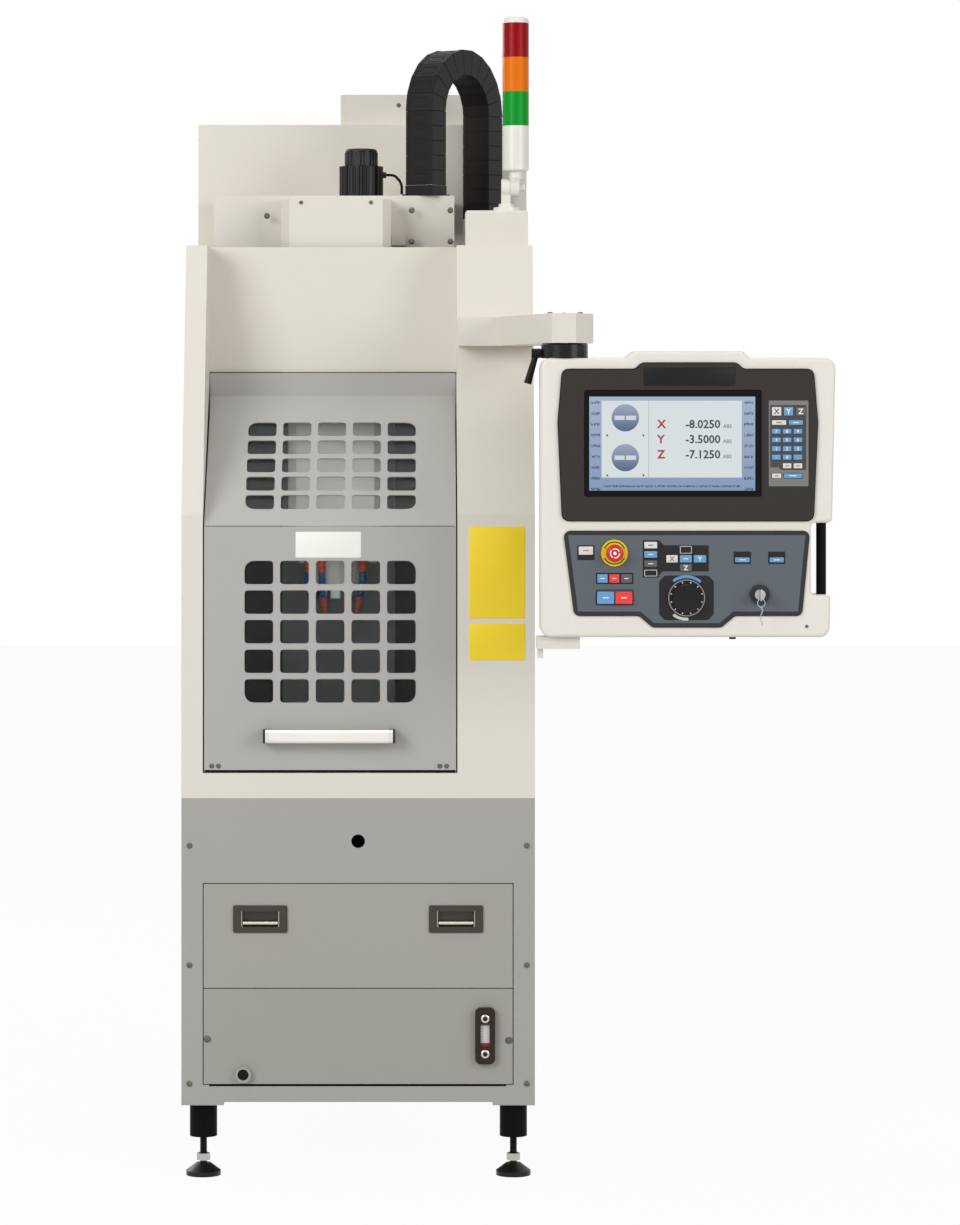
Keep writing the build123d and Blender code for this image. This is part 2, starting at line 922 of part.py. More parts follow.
def make_panes():
    width = (window_columns - 1) * window_pitch + window_width + 2 * pane_margin
    lower_height = (window_rows - 1) * lower_window_pitch + lower_window_height + 2 * pane_margin
    upper_height = (window_rows - 1) * upper_window_pitch + upper_window_height + 2 * pane_margin
    lower = front_plate(
        Pos(opening_middle, lower_grid_level) * Rectangle(width, lower_height),
        door_recess + sheet + pane_thickness, pane_thickness,
    )
    upper = extrude(
        slant_plane(upper_grid_share, -sheet - pane_thickness) * Rectangle(width, upper_height),
        amount=pane_thickness,
    )
    return Compound(children=[lower, upper])


def make_cheek():
    back = door_recess + sheet
    profile = [
        (back, cheek_front_level), (back, upper_bottom), (slant_back_depth, upper_bottom),
        (door_strip_back, slant_back_level(door_strip_back)), (door_strip_back, door_strip_top),
        (cheek_rear_depth, door_strip_top), (cheek_rear_depth, cheek_corner_level),
    ]
    return side_profile(profile, door_left, door_left + sheet)


def make_carriage():
    inner = opening_left + rail_thickness + slide_gap
    top = carriage_bottom + carriage_length
    block = span(
        inner, inner + carriage_thickness, carriage_front_depth, carriage_rear_depth, carriage_bottom, top
    )
    foot = span(
        door_left + sheet, inner, carriage_front_depth, carriage_front_depth + carriage_foot_depth,
        carriage_bottom, top,
    )
    return block + foot


def make_handle_bar():
    middle = Pos(front_y + door_recess - handle_standoff - handle_depth / 2, handle_level)
    profile = middle * RectangleRounded(
        handle_depth, handle_height, handle_depth / 2 - slide_gap
    )
    return Pos(handle_offset - handle_length / 2, 0, 0) * extrude(Plane.YZ * profile, amount=handle_length)


def make_handle_bracket(side):
    inner = handle_offset + side * handle_length / 2
    outer = inner + side * bracket_width
    middle = Pos(front_y + door_recess - handle_standoff / 2 - handle_depth / 2, handle_level)
    profile = middle * RectangleRounded(
        handle_standoff + handle_depth, handle_height, handle_depth / 2 - slide_gap
    )
    return Pos(min(inner, outer), 0, 0) * extrude(Plane.YZ * profile, amount=bracket_width)


door_rail = span(
    opening_left, opening_left + rail_thickness, hood_depth, hood_depth + rail_depth,
    rail_bottom, rail_top,
)
cheek = make_cheek()
carriage = make_carriage()
parts["door_lower"] = make_lower_panel()
parts["door_upper"] = make_upper_panel()
parts["door_panes"] = make_panes()
parts["door_carriages"] = Compound(children=[cheek, mirrored(cheek), carriage, mirrored(carriage)])
parts["door_rails"] = Compound(children=[door_rail, mirrored(door_rail)])
parts["door_handle"] = make_handle_bar()
parts["handle_brackets"] = Compound(children=[make_handle_bracket(-1), make_handle_bracket(1)])

# Machine bed, column and rails
bed_top = base_top + bed_height
saddle_bottom = bed_top + rail_bar_height + slide_gap
saddle_top = saddle_bottom + saddle_thickness
table_bottom = saddle_top + saddle_key_height + slide_gap
table_top = table_bottom + table_thickness
z_rail_front = column_front_depth - rail_bar_height
head_rear_depth = z_rail_front - slide_gap


def make_bed():
    bed = span(
        spindle_offset - bed_width / 2, spindle_offset + bed_width / 2, bed_front_depth, bed_rear_depth,
        base_top, bed_top,
    )
    return chamfer(bed.edges().filter_by(Axis.Z), bed_edge)


def make_column():
    profile = [
        (column_front_depth, bed_top), (column_front_depth, column_top),
        (bed_rear_depth - column_rear_taper, column_top), (bed_rear_depth, bed_top),
    ]
    return side_profile(profile, spindle_offset - column_width / 2, spindle_offset + column_width / 2)


def make_rails():
    rails = []
    for side in (-1, 1):
        y_rail_x = spindle_offset + side * y_rail_spread / 2
        z_rail_x = spindle_offset + side * z_rail_spread / 2
        rails.append(span(
            y_rail_x - rail_bar_width / 2, y_rail_x + rail_bar_width / 2, bed_front_depth,
            column_front_depth - y_rail_gap, bed_top, bed_top + rail_bar_height,
        ))
        rails.append(span(
            z_rail_x - rail_bar_width / 2, z_rail_x + rail_bar_width / 2, z_rail_front, column_front_depth,
            z_rail_bottom, z_rail_top,
        ))
    return Compound(children=rails)


def make_saddle():
    saddle = span(
        spindle_offset - saddle_width / 2, spindle_offset + saddle_width / 2,
        spindle_depth - saddle_length / 2,
        spindle_depth + saddle_length / 2, saddle_bottom, saddle_top,
    )
    for side in (-1, 1):
        key_depth = spindle_depth + side * saddle_key_spread / 2
        saddle += span(
            spindle_offset - saddle_width / 2, spindle_offset + saddle_width / 2,
            key_depth - rail_bar_width / 2,
            key_depth + rail_bar_width / 2, saddle_top, saddle_top + saddle_key_height,
        )
    return saddle


def make_table():
    left = spindle_offset - table_length / 2
    right = spindle_offset + table_length / 2
    table = span(
        left, right, spindle_depth - table_width / 2, spindle_depth + table_width / 2, table_bottom, table_top
    )
    for row in range(slot_count):
        depth = spindle_depth + (row - (slot_count - 1) / 2) * slot_pitch
        table -= span(
            left - overrun, right + overrun, depth - slot_width / 2, depth + slot_width / 2,
            table_top - slot_depth, table_top + overrun,
        )
        table -= span(
            left - overrun, right + overrun, depth - slot_head_width / 2, depth + slot_head_width / 2,
            table_top - slot_depth, table_top - slot_depth + slot_head_height,
        )
    return table


parts["machine_bed"] = make_bed()
parts["column"] = make_column()
parts["linear_rails"] = make_rails()
parts["saddle"] = make_saddle()
parts["table"] = make_table()

# Head: a ribless casting with a turned spindle nose below, a wide cover and a chamfered belt cover on top
sleeve_bottom = head_bottom - sleeve_nose_length
belt_cover_rear = head_cover_front_depth
cable_start_x = motor_offset + motor_radius + gland_length
cable_start_z = head_cover_top + cable_level


def make_head_casting():
    left = spindle_offset - head_width / 2
    right = spindle_offset + head_width / 2
    body = span(left, right, head_front_depth, head_rear_depth, head_bottom, head_shoulder)
    front_edges = body.edges().filter_by(Axis.Z).group_by(Axis.Y)[0]
    body = chamfer(front_edges, head_edge)
    body += span(
        left, right, head_neck_depth, head_cover_rear_depth - sheet, head_shoulder, head_cover_top - sheet
    )
    body += post(spindle_offset, spindle_depth, sleeve_nose_radius, sleeve_bottom, head_bottom)
    return body - post(
        spindle_offset, spindle_depth, spindle_bore + shaft_gap, sleeve_bottom - overrun,
        sleeve_bottom + spindle_shaft_length + seat_gap,
    )


def make_spindle():
    nose_bottom = sleeve_bottom - seat_gap - spindle_nose_length
    spindle = post(spindle_offset, spindle_depth, spindle_nose_radius, nose_bottom, sleeve_bottom - seat_gap)
    spindle = chamfer(spindle.edges().group_by(Axis.Z)[0], spindle_taper_radius / 2)
    spindle += post(
        spindle_offset, spindle_depth, spindle_bore, sleeve_bottom - seat_gap,
        sleeve_bottom + spindle_shaft_length,
    )
    taper = Cone(
        spindle_taper_radius, spindle_taper_radius / 2, spindle_taper_depth,
        align=(Align.CENTER, Align.CENTER, Align.MIN),
    )
    return spindle - Pos(spindle_offset, front_y + spindle_depth, nose_bottom) * taper


def make_head_cover():
    left = opening_left + door_gap
    right = opening_right - door_gap
    shell = span(
        left, right, head_cover_front_depth, head_cover_rear_depth, head_cover_bottom,
        head_cover_top,
    )
    shell -= span(
        left + sheet, right - sheet, head_cover_front_depth + sheet, head_cover_rear_depth - sheet,
        head_cover_bottom - overrun, head_cover_top - sheet,
    )
    foot = Rectangle(chain_width, chain_height)
    placed = Pos(chain_x, front_y + chain_depth, head_cover_top) * Rot(0, 0, -chain_turn) * foot
    shell += extrude(placed, amount=chain_front_bottom - head_cover_top)
    terminal_left = belt_cover_offset + belt_cover_width / 2 + terminal_gap
    shell += span(
        terminal_left, terminal_left + terminal_width, head_cover_front_depth - terminal_depth,
        head_cover_front_depth, head_cover_bottom + terminal_lift,
        head_cover_bottom + terminal_lift + terminal_height,
    )
    return shell + post(
        cable_start_x + cable_reach, motor_depth, gland_radius, head_cover_top, head_cover_top + gland_length
    )


def make_belt_cover():
    left = belt_cover_offset - belt_cover_width / 2
    right = belt_cover_offset + belt_cover_width / 2
    cover = span(left, right, belt_cover_front_depth, belt_cover_rear, head_shoulder, belt_cover_top)
    front_sides = cover.edges().filter_by(Axis.Z).group_by(Axis.Y)[0]
    cover = chamfer(front_sides, belt_cover_chamfer)
    hollow = span(
        left + sheet, right - sheet, belt_cover_front_depth + belt_cover_chamfer, belt_cover_rear + overrun,
        head_shoulder - overrun, belt_cover_top - sheet,
    )
    return cover - hollow


def make_motor():
    base = head_cover_top
    body = post(motor_offset, motor_depth, motor_radius, base, base + motor_height)
    flutes = PolarLocations(motor_radius, motor_flutes) * Circle(motor_flute_radius)
    cut = extrude(Sketch(children=flutes), amount=motor_height)
    body -= Pos(motor_offset, front_y + motor_depth, base) * cut
    cap = post(
        motor_offset, motor_depth, motor_cap_radius, base + motor_height,
        base + motor_height + motor_cap_height,
    )
    cap = fillet(cap.edges().group_by(Axis.Z)[-1], motor_cap_edge)
    side = Plane(origin=(cable_start_x, front_y + motor_depth, cable_start_z), z_dir=(-1, 0, 0))
    return body + cap + extrude(side * Circle(gland_radius), amount=gland_length + gland_root)


# Motor cable: out of the side gland, over and down into the gland on the cover
def make_cable():
    depth = front_y + motor_depth
    end_x = cable_start_x + cable_reach
    end_z = head_cover_top + gland_length
    route = [
        Vector(cable_start_x, depth, cable_start_z), Vector(cable_start_x + cable_run, depth, cable_start_z),
        Vector(end_x, depth, end_z + cable_drop), Vector(end_x, depth, end_z),
    ]
    runs = [after - before for before, after in zip(route, route[1:])]
    bends = []
    for first, second in zip(runs, runs[1:]):
        half_turn = math.radians(first.get_angle(second) / 2)
        bends.append(cable_bend_share * min(first.length, second.length) / math.tan(half_turn))
    print("motor cable bend radii:", ", ".join(f"{bend:.1f} mm" for bend in bends))
    path = FilletPolyline(*route, radius=bends)
    return sweep(Plane(origin=route[0], z_dir=(1, 0, 0)) * Circle(cable_radius), path=path)


# Coolant hoses: each comes down from the head and turns in towards the tool, with a cone nozzle
def make_hose(angle):
    outward = Vector(math.cos(math.radians(angle)), math.sin(math.radians(angle)), 0)
    axis = Vector(spindle_offset, front_y + spindle_depth, 0)
    start = axis + outward * hose_ring_radius + Vector(0, 0, head_bottom)
    knee = start - Vector(0, 0, hose_drop)
    end = knee - outward * (hose_reach * hose_lean_share) - Vector(0, 0, hose_reach)
    path = FilletPolyline(start, knee, end, radius=hose_bend)
    tube = sweep(Plane(origin=start, z_dir=(0, 0, -1)) * Circle(hose_radius), path=path)
    heading = (end - knee).normalized()
    nozzle = Plane(origin=end, z_dir=heading) * Cone(
        hose_radius, nozzle_tip_radius, nozzle_length, align=(Align.CENTER, Align.CENTER, Align.MIN)
    )
    return [tube, nozzle]


parts["head_casting"] = make_head_casting()
parts["spindle"] = make_spindle()
parts["head_cover"] = make_head_cover()
parts["belt_cover"] = make_belt_cover()
parts["spindle_motor"] = make_motor()
parts["motor_cable"] = make_cable()
parts["coolant_hoses"] = Compound(children=[piece for angle in hose_angles for piece in make_hose(angle)])

# Cable chain: open links with stepped side plates, up from the head, over a half turn and down to the anchor
chain_across = Vector(math.sin(math.radians(chain_turn)), math.cos(math.radians(chain_turn)), 0)
chain_start = Vector(chain_x, front_y + chain_depth, 0)
chain_link_length = chain_pitch - chain_link_gap
chain_rear_bottom = chain_top - chain_rear_links * chain_pitch
chain_rear = chain_start + chain_across * (2 * chain_radius)
link_step_share = 0.12
link_overlap_share = 0.2


def chain_place(travel):
    """A point on the chain's line, with its outward and forward directions."""
    front_length = chain_top - chain_front_bottom
    arc_length = math.pi * chain_radius
    up = Vector(0, 0, 1)
    if travel < front_length:
        return chain_start + up * (chain_front_bottom + travel), -chain_across, up
    if travel < front_length + arc_length:
        angle = (travel - front_length) / chain_radius
        outward = up * math.sin(angle) - chain_across * math.cos(angle)
        forward = up * math.cos(angle) + chain_across * math.sin(angle)
        middle = chain_start + chain_across * chain_radius + up * chain_top
        return middle + outward * chain_radius, outward, forward
    drop = travel - front_length - arc_length
    return chain_rear + up * (chain_top - drop), chain_across, -up


def make_link(bend):
    """A link whose outer side is longer and whose inner side is shorter, to close up round the turn."""
    outer = chain_link_length / 2 + bend
    inner = chain_link_length / 2 - bend
    outline = Polyline(
        (-outer, chain_height / 2), (outer, chain_height / 2), (inner, -chain_height / 2),
        (-inner, -chain_height / 2), close=True,
    )
    face = make_face(outline)
    narrow = chain_width * (1 - link_step_share)
    link = extrude(face, amount=narrow / 2, both=True)
    rear_half = Pos(-outer * (1 - link_overlap_share), 0) * Rectangle(
        outer * (1 + link_overlap_share), chain_height
    )
    link += extrude(face & rear_half, amount=chain_width / 2, both=True)
    tunnel = Box(2 * chain_pitch, chain_height - 2 * chain_wall, narrow - 2 * chain_wall)
    return link - tunnel


def make_chain():
    straight_link = make_link(0)
    turning_link = make_link(chain_link_length * chain_height / 4 / chain_radius)
    links = []
    for index in range(chain_front_links + chain_arc_links + chain_rear_links):
        point, outward, forward = chain_place(index * chain_pitch + chain_pitch / 2)
        turning = chain_front_links <= index < chain_front_links + chain_arc_links
        place = Plane(origin=point, x_dir=forward, z_dir=forward.cross(outward))
        links.append(place * (turning_link if turning else straight_link))
    return Compound(children=links)


def make_anchor():
    z0 = chain_rear_bottom - anchor_height
    foot = Rot(0, 0, -chain_turn) * Rectangle(chain_width, chain_height)
    block = extrude(Pos(chain_rear.X, chain_rear.Y, z0) * foot, amount=anchor_height)
    plate = span(
        chain_rear.X - chain_width / 2, chain_rear.X + chain_width / 2, chain_rear.Y - front_y,
        tower_front_depth,
        z0, z0 + anchor_height,
    )
    return block + plate


parts["cable_chain"] = make_chain()
parts["chain_anchor"] = make_anchor()

# Light tower: a folded box, a foot with one knuckle disc, and a tilting body with three lenses
tower_box_top = wall_top + tower_box_height
lens_bottom = lamp_bottom + lamp_body_height


def cross_disc(x0, x1, radius):
    """A round disc on the knuckle's level axis."""
    plane = Plane(origin=(x0, front_y + lamp_depth, knuckle_level), z_dir=(1, 0, 0))
    return extrude(plane * Circle(radius), amount=x1 - x0)


def make_tower_foot():
    foot = post(pedestal_x, lamp_depth, flange_radius, tower_box_top, tower_box_top + flange_height)
    foot += post(
        pedestal_x, lamp_depth, pedestal_radius, tower_box_top + flange_height,
        tower_box_top + flange_height + pedestal_height,
    )
    foot += cross_disc(knuckle_x - knuckle_disc, knuckle_x, knuckle_radius)
    foot += span(
        knuckle_x - knuckle_disc, knuckle_x, lamp_depth - neck_width / 2, lamp_depth + neck_width / 2,
        tower_box_top + flange_height, knuckle_level,
    )
    return foot + cross_disc(knuckle_x, knuckle_x + knuckle_pin_length, knuckle_pin_radius)


def make_tower_body():
    left = knuckle_x + knuckle_gap
    right = knuckle_x + knuckle_disc
    body = cross_disc(left, right, knuckle_radius)
    body += span(
        left, right, lamp_depth - neck_width / 2, lamp_depth + neck_width / 2, knuckle_level, coupler_bottom
    )
    body += post(lamp_x, lamp_depth, coupler_radius, coupler_bottom, lamp_bottom)
    lamp = post(lamp_x, lamp_depth, lamp_radius, lamp_bottom, lens_bottom)
    body += chamfer(lamp.edges().group_by(Axis.Z)[0], lamp_edge)
    body += cross_disc(right, right + knob_length, knob_radius)
    body -= cross_disc(
        left - overrun, knuckle_x + knuckle_pin_length + seat_gap, knuckle_pin_radius + shaft_gap
    )
    cap_bottom = lens_bottom + lens_count * lens_height
    cap = post(lamp_x, lamp_depth, lamp_radius, cap_bottom, cap_bottom + cap_height)
    cap = fillet(cap.edges().group_by(Axis.Z)[-1], cap_dome)
    return Compound(children=[body, cap])


def make_lenses():
    return Compound(children=[
        post(
            lamp_x, lamp_depth, lamp_radius,
            lens_bottom + row * lens_height, lens_bottom + (row + 1) * lens_height,
        )
        for row in range(lens_count)
    ])


tower_box = span(
    tower_box_left, tower_box_left + tower_box_width, tower_box_front_depth,
    tower_box_front_depth + tower_box_depth,
    wall_top, tower_box_top,
)
parts["tower_box"] = chamfer(tower_box.edges().group_by(Axis.Z)[-1], tower_box_edge)
parts["tower_foot"] = make_tower_foot()
parts["tower_body"] = make_tower_body()
parts["tower_lenses"] = make_lenses()


# Pendant arm: a folded box that seats on the leaning column face and holds the pivot bore
def make_arm():
    outline = [
        (arm_root_left, arm_back_depth), (arm_root_left, arm_root_depth), (arm_root_right, arm_root_depth),
        (arm_front_left, arm_front_depth), (arm_front_right, arm_front_depth), (arm_end_x, arm_end_depth),
        (arm_back_x, arm_back_depth),
    ]
    arm = plan_profile(outline, arm_bottom, arm_bottom + arm_height)
    plan = make_face(Polyline([(x, front_y + depth) for x, depth in outline], close=True))
    inside = extrude(offset(plan, -arm_sheet), amount=arm_height - 2 * arm_sheet)
    arm -= Pos(0, 0, arm_bottom + arm_sheet) * inside
    arm += post(swivel_x, swivel_depth, arm_boss_radius, arm_bottom, arm_bottom + arm_height)
    arm -= post(
        swivel_x, swivel_depth, pivot_radius + shaft_gap, arm_bottom - overrun,
        arm_bottom + pivot_length + seat_gap,
    )
    column = [
        (0, base_top), (0, lean_start), (lean_depth, wall_top), (column_box_depth, wall_top),
        (column_box_depth, base_top),
    ]
    return arm - side_profile(column, opening_right - overrun, half_width)


def make_collar():
    top = arm_bottom - seat_gap
    collar = post(swivel_x, swivel_depth, collar_radius, pendant_top, top)
    collar = chamfer(collar.edges().group_by(Axis.Z)[-1], collar_edge)
    collar += post(swivel_x, swivel_depth, pivot_radius, top, arm_bottom + pivot_length)
    return collar - Pos(swivel_x, front_y + swivel_depth, lever_level) * Rot(0, -90, 0) * Cylinder(
        lever_bolt_radius + shaft_gap, 2 * collar_radius + overrun,
        align=(Align.CENTER, Align.CENTER, Align.MIN),
    )


def make_lever():
    head_right = swivel_x - collar_radius - seat_gap
    place = Pos(head_right, front_y + swivel_depth, lever_level) * Rot(0, -90, 0)
    upright = (Align.CENTER, Align.CENTER, Align.MIN)
    head = place * Cylinder(lever_head_radius, lever_head_length, align=upright)
    bolt_align = (Align.CENTER, Align.CENTER, Align.MAX)
    head += place * Cylinder(lever_bolt_radius, collar_radius / 2, align=bolt_align)
    start = (head_right - lever_head_length / 2, front_y + swivel_depth, lever_level)
    arm = Pos(*start) * Rot(0, 180 + lever_splay, 0) * Cone(
        lever_tip_radius, lever_head_radius / 2 + lever_tip_radius / 2, lever_length, align=upright
    )
    return head + arm


parts["pendant_arm"] = make_arm()
parts["swivel_collar"] = make_collar()
parts["clamp_lever"] = make_lever()

# Pendant: a moulded housing with a crowned top and a grip notch, a bezel, a display and a control panel
pendant_right = pendant_left + pendant_width
crown_right = crown_left + crown_width
bezel_face = pendant_front_depth - bezel_thickness
panel_face = pendant_front_depth - panel_plate
pendant_rear_depth = pendant_front_depth + pendant_thickness


def corner_fillet(face, points, radius):
    """Round the corners of a front-view sketch that lie at some points."""
    picked = [v for v in face.vertices() if any(math.dist((v.X, v.Y), p) < seat_gap for p in points)]
    return fillet(picked, radius)


def housing_edge(level):
    """X of the housing's tapered right edge at a height."""
    return pendant_right - pendant_taper * (pendant_top - level) / (pendant_top - pendant_bottom)


def make_housing():
    crown = pendant_top + pendant_crown
    outer = [
        (pendant_left, pendant_bottom), (pendant_left, pendant_top), (pendant_right, pendant_top),
        (housing_edge(pendant_bottom), pendant_bottom),
    ]
    notch = [
        (housing_edge(notch_top), notch_top), (notch_left, notch_top), (notch_left, notch_bottom),
        (housing_edge(notch_bottom), notch_bottom),
    ]
    outline = Polyline(
        [
            outer[0], outer[1], (crown_left - crown_ramp, pendant_top), (crown_left, crown),
            (crown_right, crown),
            (crown_right + crown_ramp, pendant_top), outer[2], *notch, outer[3],
        ],
        close=True,
    )
    face = corner_fillet(make_face(outline), outer, pendant_corner)
    face = corner_fillet(face, notch, notch_corner)
    housing = front_plate(face, pendant_rear_depth, pendant_thickness)
    front_edges = housing.edges().group_by(Axis.Y)[0]
    housing = fillet(front_edges, pendant_edge)
    pocket = span(
        bezel_left + housing_pocket_margin, notch_left - housing_pocket_margin, pendant_front_depth - overrun,
        pendant_rear_depth - housing_wall, panel_bottom + housing_pocket_margin,
        bezel_bottom + bezel_height - housing_pocket_margin,
    )
    return housing - pocket


def make_bezel():
    right = bezel_left + bezel_width
    top = bezel_bottom + bezel_height
    crown = top + bezel_crown
    bulge_level = bezel_bottom + bezel_height * bezel_bulge_share
    corners = [
        (bezel_left + bezel_bulge, bezel_bottom), (bezel_left + bezel_bulge, top), (right - bezel_bulge, top),
        (right - bezel_bulge, bezel_bottom),
    ]
    crown_end = bezel_crown_left + bezel_crown_width
    outline = Polyline(
        [
            corners[0], (bezel_left, bulge_level), corners[1], (bezel_crown_left - bezel_crown, top),
            (bezel_crown_left, crown), (crown_end, crown), (crown_end + bezel_crown, top), corners[2],
            (right, bulge_level), corners[3],
        ],
        close=True,
    )
    face = corner_fillet(make_face(outline), corners, bezel_corner)
    bezel = front_plate(face, pendant_front_depth, bezel_thickness)
    name_bottom = screen_bottom + screen_height + name_lift
    bezel -= front_rounded(
        bezel_crown_left + name_margin, crown_end - name_margin, name_bottom, name_bottom + name_height,
        name_corner, bezel_face + name_recess, overrun,
    )
    return bezel - front_rounded(
        screen_left - seat_gap, screen_left + screen_width + seat_gap, screen_bottom - seat_gap,
        screen_bottom + screen_height + seat_gap, screen_corner + seat_gap,
        bezel_face + screen_recess, overrun,
    )


# Membrane keys: low pads in rows, on a keypad beside the screen and in groups on the control panel
def make_pads(row_shares, left, bottom, width, height, face):
    pads = []
    for low, high, columns in row_shares:
        for near, far in columns:
            pads.append(front_rounded(
                left + near * width, left + far * width, bottom + low * height, bottom + high * height,
                key_corner, face, key_thickness,
            ))
    return pads


def make_keys():
    pads = make_pads(keypad_shares, keypad_left, keypad_bottom, keypad_width, keypad_height, bezel_face)
    pads += make_pads(
        panel_key_shares, panel_left_top, panel_bottom - panel_dip, panel_right_top - panel_left_top,
        panel_top - panel_bottom + panel_dip, panel_face,
    )
    return Compound(children=pads)


def make_control_panel():
    dip = panel_bottom - panel_dip
    outline = Polyline(
        [
            (panel_left_bottom, panel_bottom), (panel_left_top, panel_top), (panel_right_top, panel_top),
            (panel_right_bottom, panel_bottom), (panel_dip_right + panel_dip_ramp, panel_bottom),
            (panel_dip_right, dip), (panel_dip_left, dip), (panel_dip_left - panel_dip_ramp, panel_bottom),
        ],
        close=True,
    )
    face = make_face(outline)
    panel = front_plate(fillet(face.vertices(), panel_corner), pendant_front_depth, panel_plate)
    panel += front_disc(key_switch_x, key_switch_level, panel_face, key_switch_radius, key_switch_height)
    panel -= front_disc(
        key_switch_x, key_switch_level, pendant_front_depth, key_barrel_radius + shaft_gap, overrun
    )
    panel -= front_disc(stop_x, stop_level, pendant_front_depth, stop_stem_radius + slide_gap, overrun)
    panel -= front_disc(wheel_x, wheel_level, pendant_front_depth, wheel_stem_radius + shaft_gap, overrun)
    for x in (start_x, hold_x):
        half = button_width / 2 + slide_gap
        rise = button_length / 2 + slide_gap
        panel -= front_rounded(
            x - half, x + half, button_level - rise, button_level + rise, button_corner + slide_gap,
            pendant_front_depth, overrun,
        )
    return panel


def make_button(x):
    half = button_width / 2
    rise = button_length / 2
    return front_rounded(
        x - half, x + half, button_level - rise, button_level + rise, button_corner, pendant_front_depth,
        panel_plate + button_height,
    )


def make_stop_button():
    ring_face = panel_face - stop_ring_height
    stem = front_disc(
        stop_x, stop_level, pendant_front_depth, stop_stem_radius,
        panel_plate + stop_ring_height + stop_stand,
    )
    head = front_disc(
        stop_x, stop_level, ring_face - stop_travel - slide_gap, stop_head_radius, stop_head_height
    )
    head = fillet(head.edges().group_by(Axis.Y)[0], stop_head_height / 3)
    return stem + head


def make_wheel():
    start = panel_face - wheel_gap
    wheel = front_disc(wheel_x, wheel_level, start, wheel_radius, wheel_thickness)
    wheel += front_disc(wheel_x, wheel_level, start - wheel_thickness, wheel_knob_radius, wheel_knob_height)
    wheel = chamfer(wheel.edges().group_by(Axis.Y)[0], wheel_thickness / 2)
    wheel += front_disc(
        wheel_x, wheel_level + wheel_grip_offset, start - wheel_thickness - wheel_knob_height,
        wheel_grip_radius,
        wheel_grip_height,
    )
    return wheel + front_disc(
        wheel_x, wheel_level, pendant_front_depth, wheel_stem_radius, panel_plate + wheel_gap
    )


def make_key():
    face = panel_face - key_switch_height
    key = front_disc(
        key_switch_x, key_switch_level, pendant_front_depth, key_barrel_radius,
        panel_plate + key_switch_height + key_barrel_height,
    )
    barrel_face = face - key_barrel_height
    key += span(
        key_switch_x - key_bow_thickness / 2, key_switch_x + key_bow_thickness / 2,
        barrel_face - key_blade_length,
        barrel_face, key_switch_level - key_blade_width / 2, key_switch_level + key_blade_width / 2,
    )
    bow_rear = barrel_face - key_blade_length
    bow_y = front_y + bow_rear - key_bow_width / 2
    bow_x = key_switch_x - key_bow_thickness / 2
    bow = Plane(origin=(bow_x, bow_y, key_switch_level), x_dir=(0, 1, 0), z_dir=(1, 0, 0))
    outline = RectangleRounded(key_bow_width, key_bow_height, key_bow_width / 3)
    return key + extrude(bow * outline, amount=key_bow_thickness)


def make_lower_bracket():
    front = swivel_depth - lower_bracket_depth / 2
    rear = front + lower_bracket_depth
    bottom = pendant_bottom - lower_bracket_height
    bracket = span(
        lower_bracket_left, lower_bracket_left + lower_bracket_width, front, rear, bottom,
        pendant_bottom,
    )
    stub_left = lower_bracket_left + lower_stub_offset
    return bracket + span(
        stub_left, stub_left + lower_stub_width, swivel_depth - lower_stub_width / 2,
        swivel_depth + lower_stub_width / 2,
        bottom - lower_stub_height, bottom,
    )


parts["pendant_housing"] = make_housing()
parts["screen_bezel"] = make_bezel()
parts["display"] = front_rounded(
    screen_left, screen_left + screen_width, screen_bottom, screen_bottom + screen_height, screen_corner,
    bezel_face + screen_recess, screen_thickness,
)
parts["membrane_keys"] = make_keys()
parts["control_panel"] = make_control_panel()
parts["stop_ring"] = front_disc(
    stop_x, stop_level, panel_face, stop_ring_radius, stop_ring_height
) - front_disc(stop_x, stop_level, panel_face + overrun, stop_stem_radius + slide_gap, 2 * overrun)
parts["stop_button"] = make_stop_button()
parts["start_button"] = make_button(start_x)
parts["hold_button"] = make_button(hold_x)
parts["handwheel"] = make_wheel()
parts["switch_key"] = make_key()
parts["grip_bar"] = post(grip_x, pendant_front_depth + grip_set_back, grip_radius, notch_bottom, notch_top)
parts["lower_bracket"] = make_lower_bracket()

os.makedirs("parts", exist_ok=True)
for name, solid in parts.items():
    export_step(solid, os.path.join("parts", name + ".step"))
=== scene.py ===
import math

import bmesh
import bpy
from mathutils import Matrix, Vector


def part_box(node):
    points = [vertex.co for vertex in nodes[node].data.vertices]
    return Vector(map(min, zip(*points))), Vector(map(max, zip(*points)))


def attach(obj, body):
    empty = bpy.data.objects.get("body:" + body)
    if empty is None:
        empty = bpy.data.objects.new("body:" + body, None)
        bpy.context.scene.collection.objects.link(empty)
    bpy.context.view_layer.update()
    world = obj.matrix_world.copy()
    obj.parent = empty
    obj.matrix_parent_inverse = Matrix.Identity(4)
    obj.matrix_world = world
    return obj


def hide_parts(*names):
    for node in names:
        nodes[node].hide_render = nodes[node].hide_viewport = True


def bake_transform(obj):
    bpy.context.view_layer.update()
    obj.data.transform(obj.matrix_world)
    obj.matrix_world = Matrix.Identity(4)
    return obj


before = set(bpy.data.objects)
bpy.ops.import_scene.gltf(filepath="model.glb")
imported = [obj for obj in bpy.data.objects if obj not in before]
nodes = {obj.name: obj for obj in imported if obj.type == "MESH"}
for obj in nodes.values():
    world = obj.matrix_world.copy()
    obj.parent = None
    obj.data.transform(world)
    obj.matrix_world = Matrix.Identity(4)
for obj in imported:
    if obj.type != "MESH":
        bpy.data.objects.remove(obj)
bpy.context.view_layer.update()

scene = bpy.context.scene

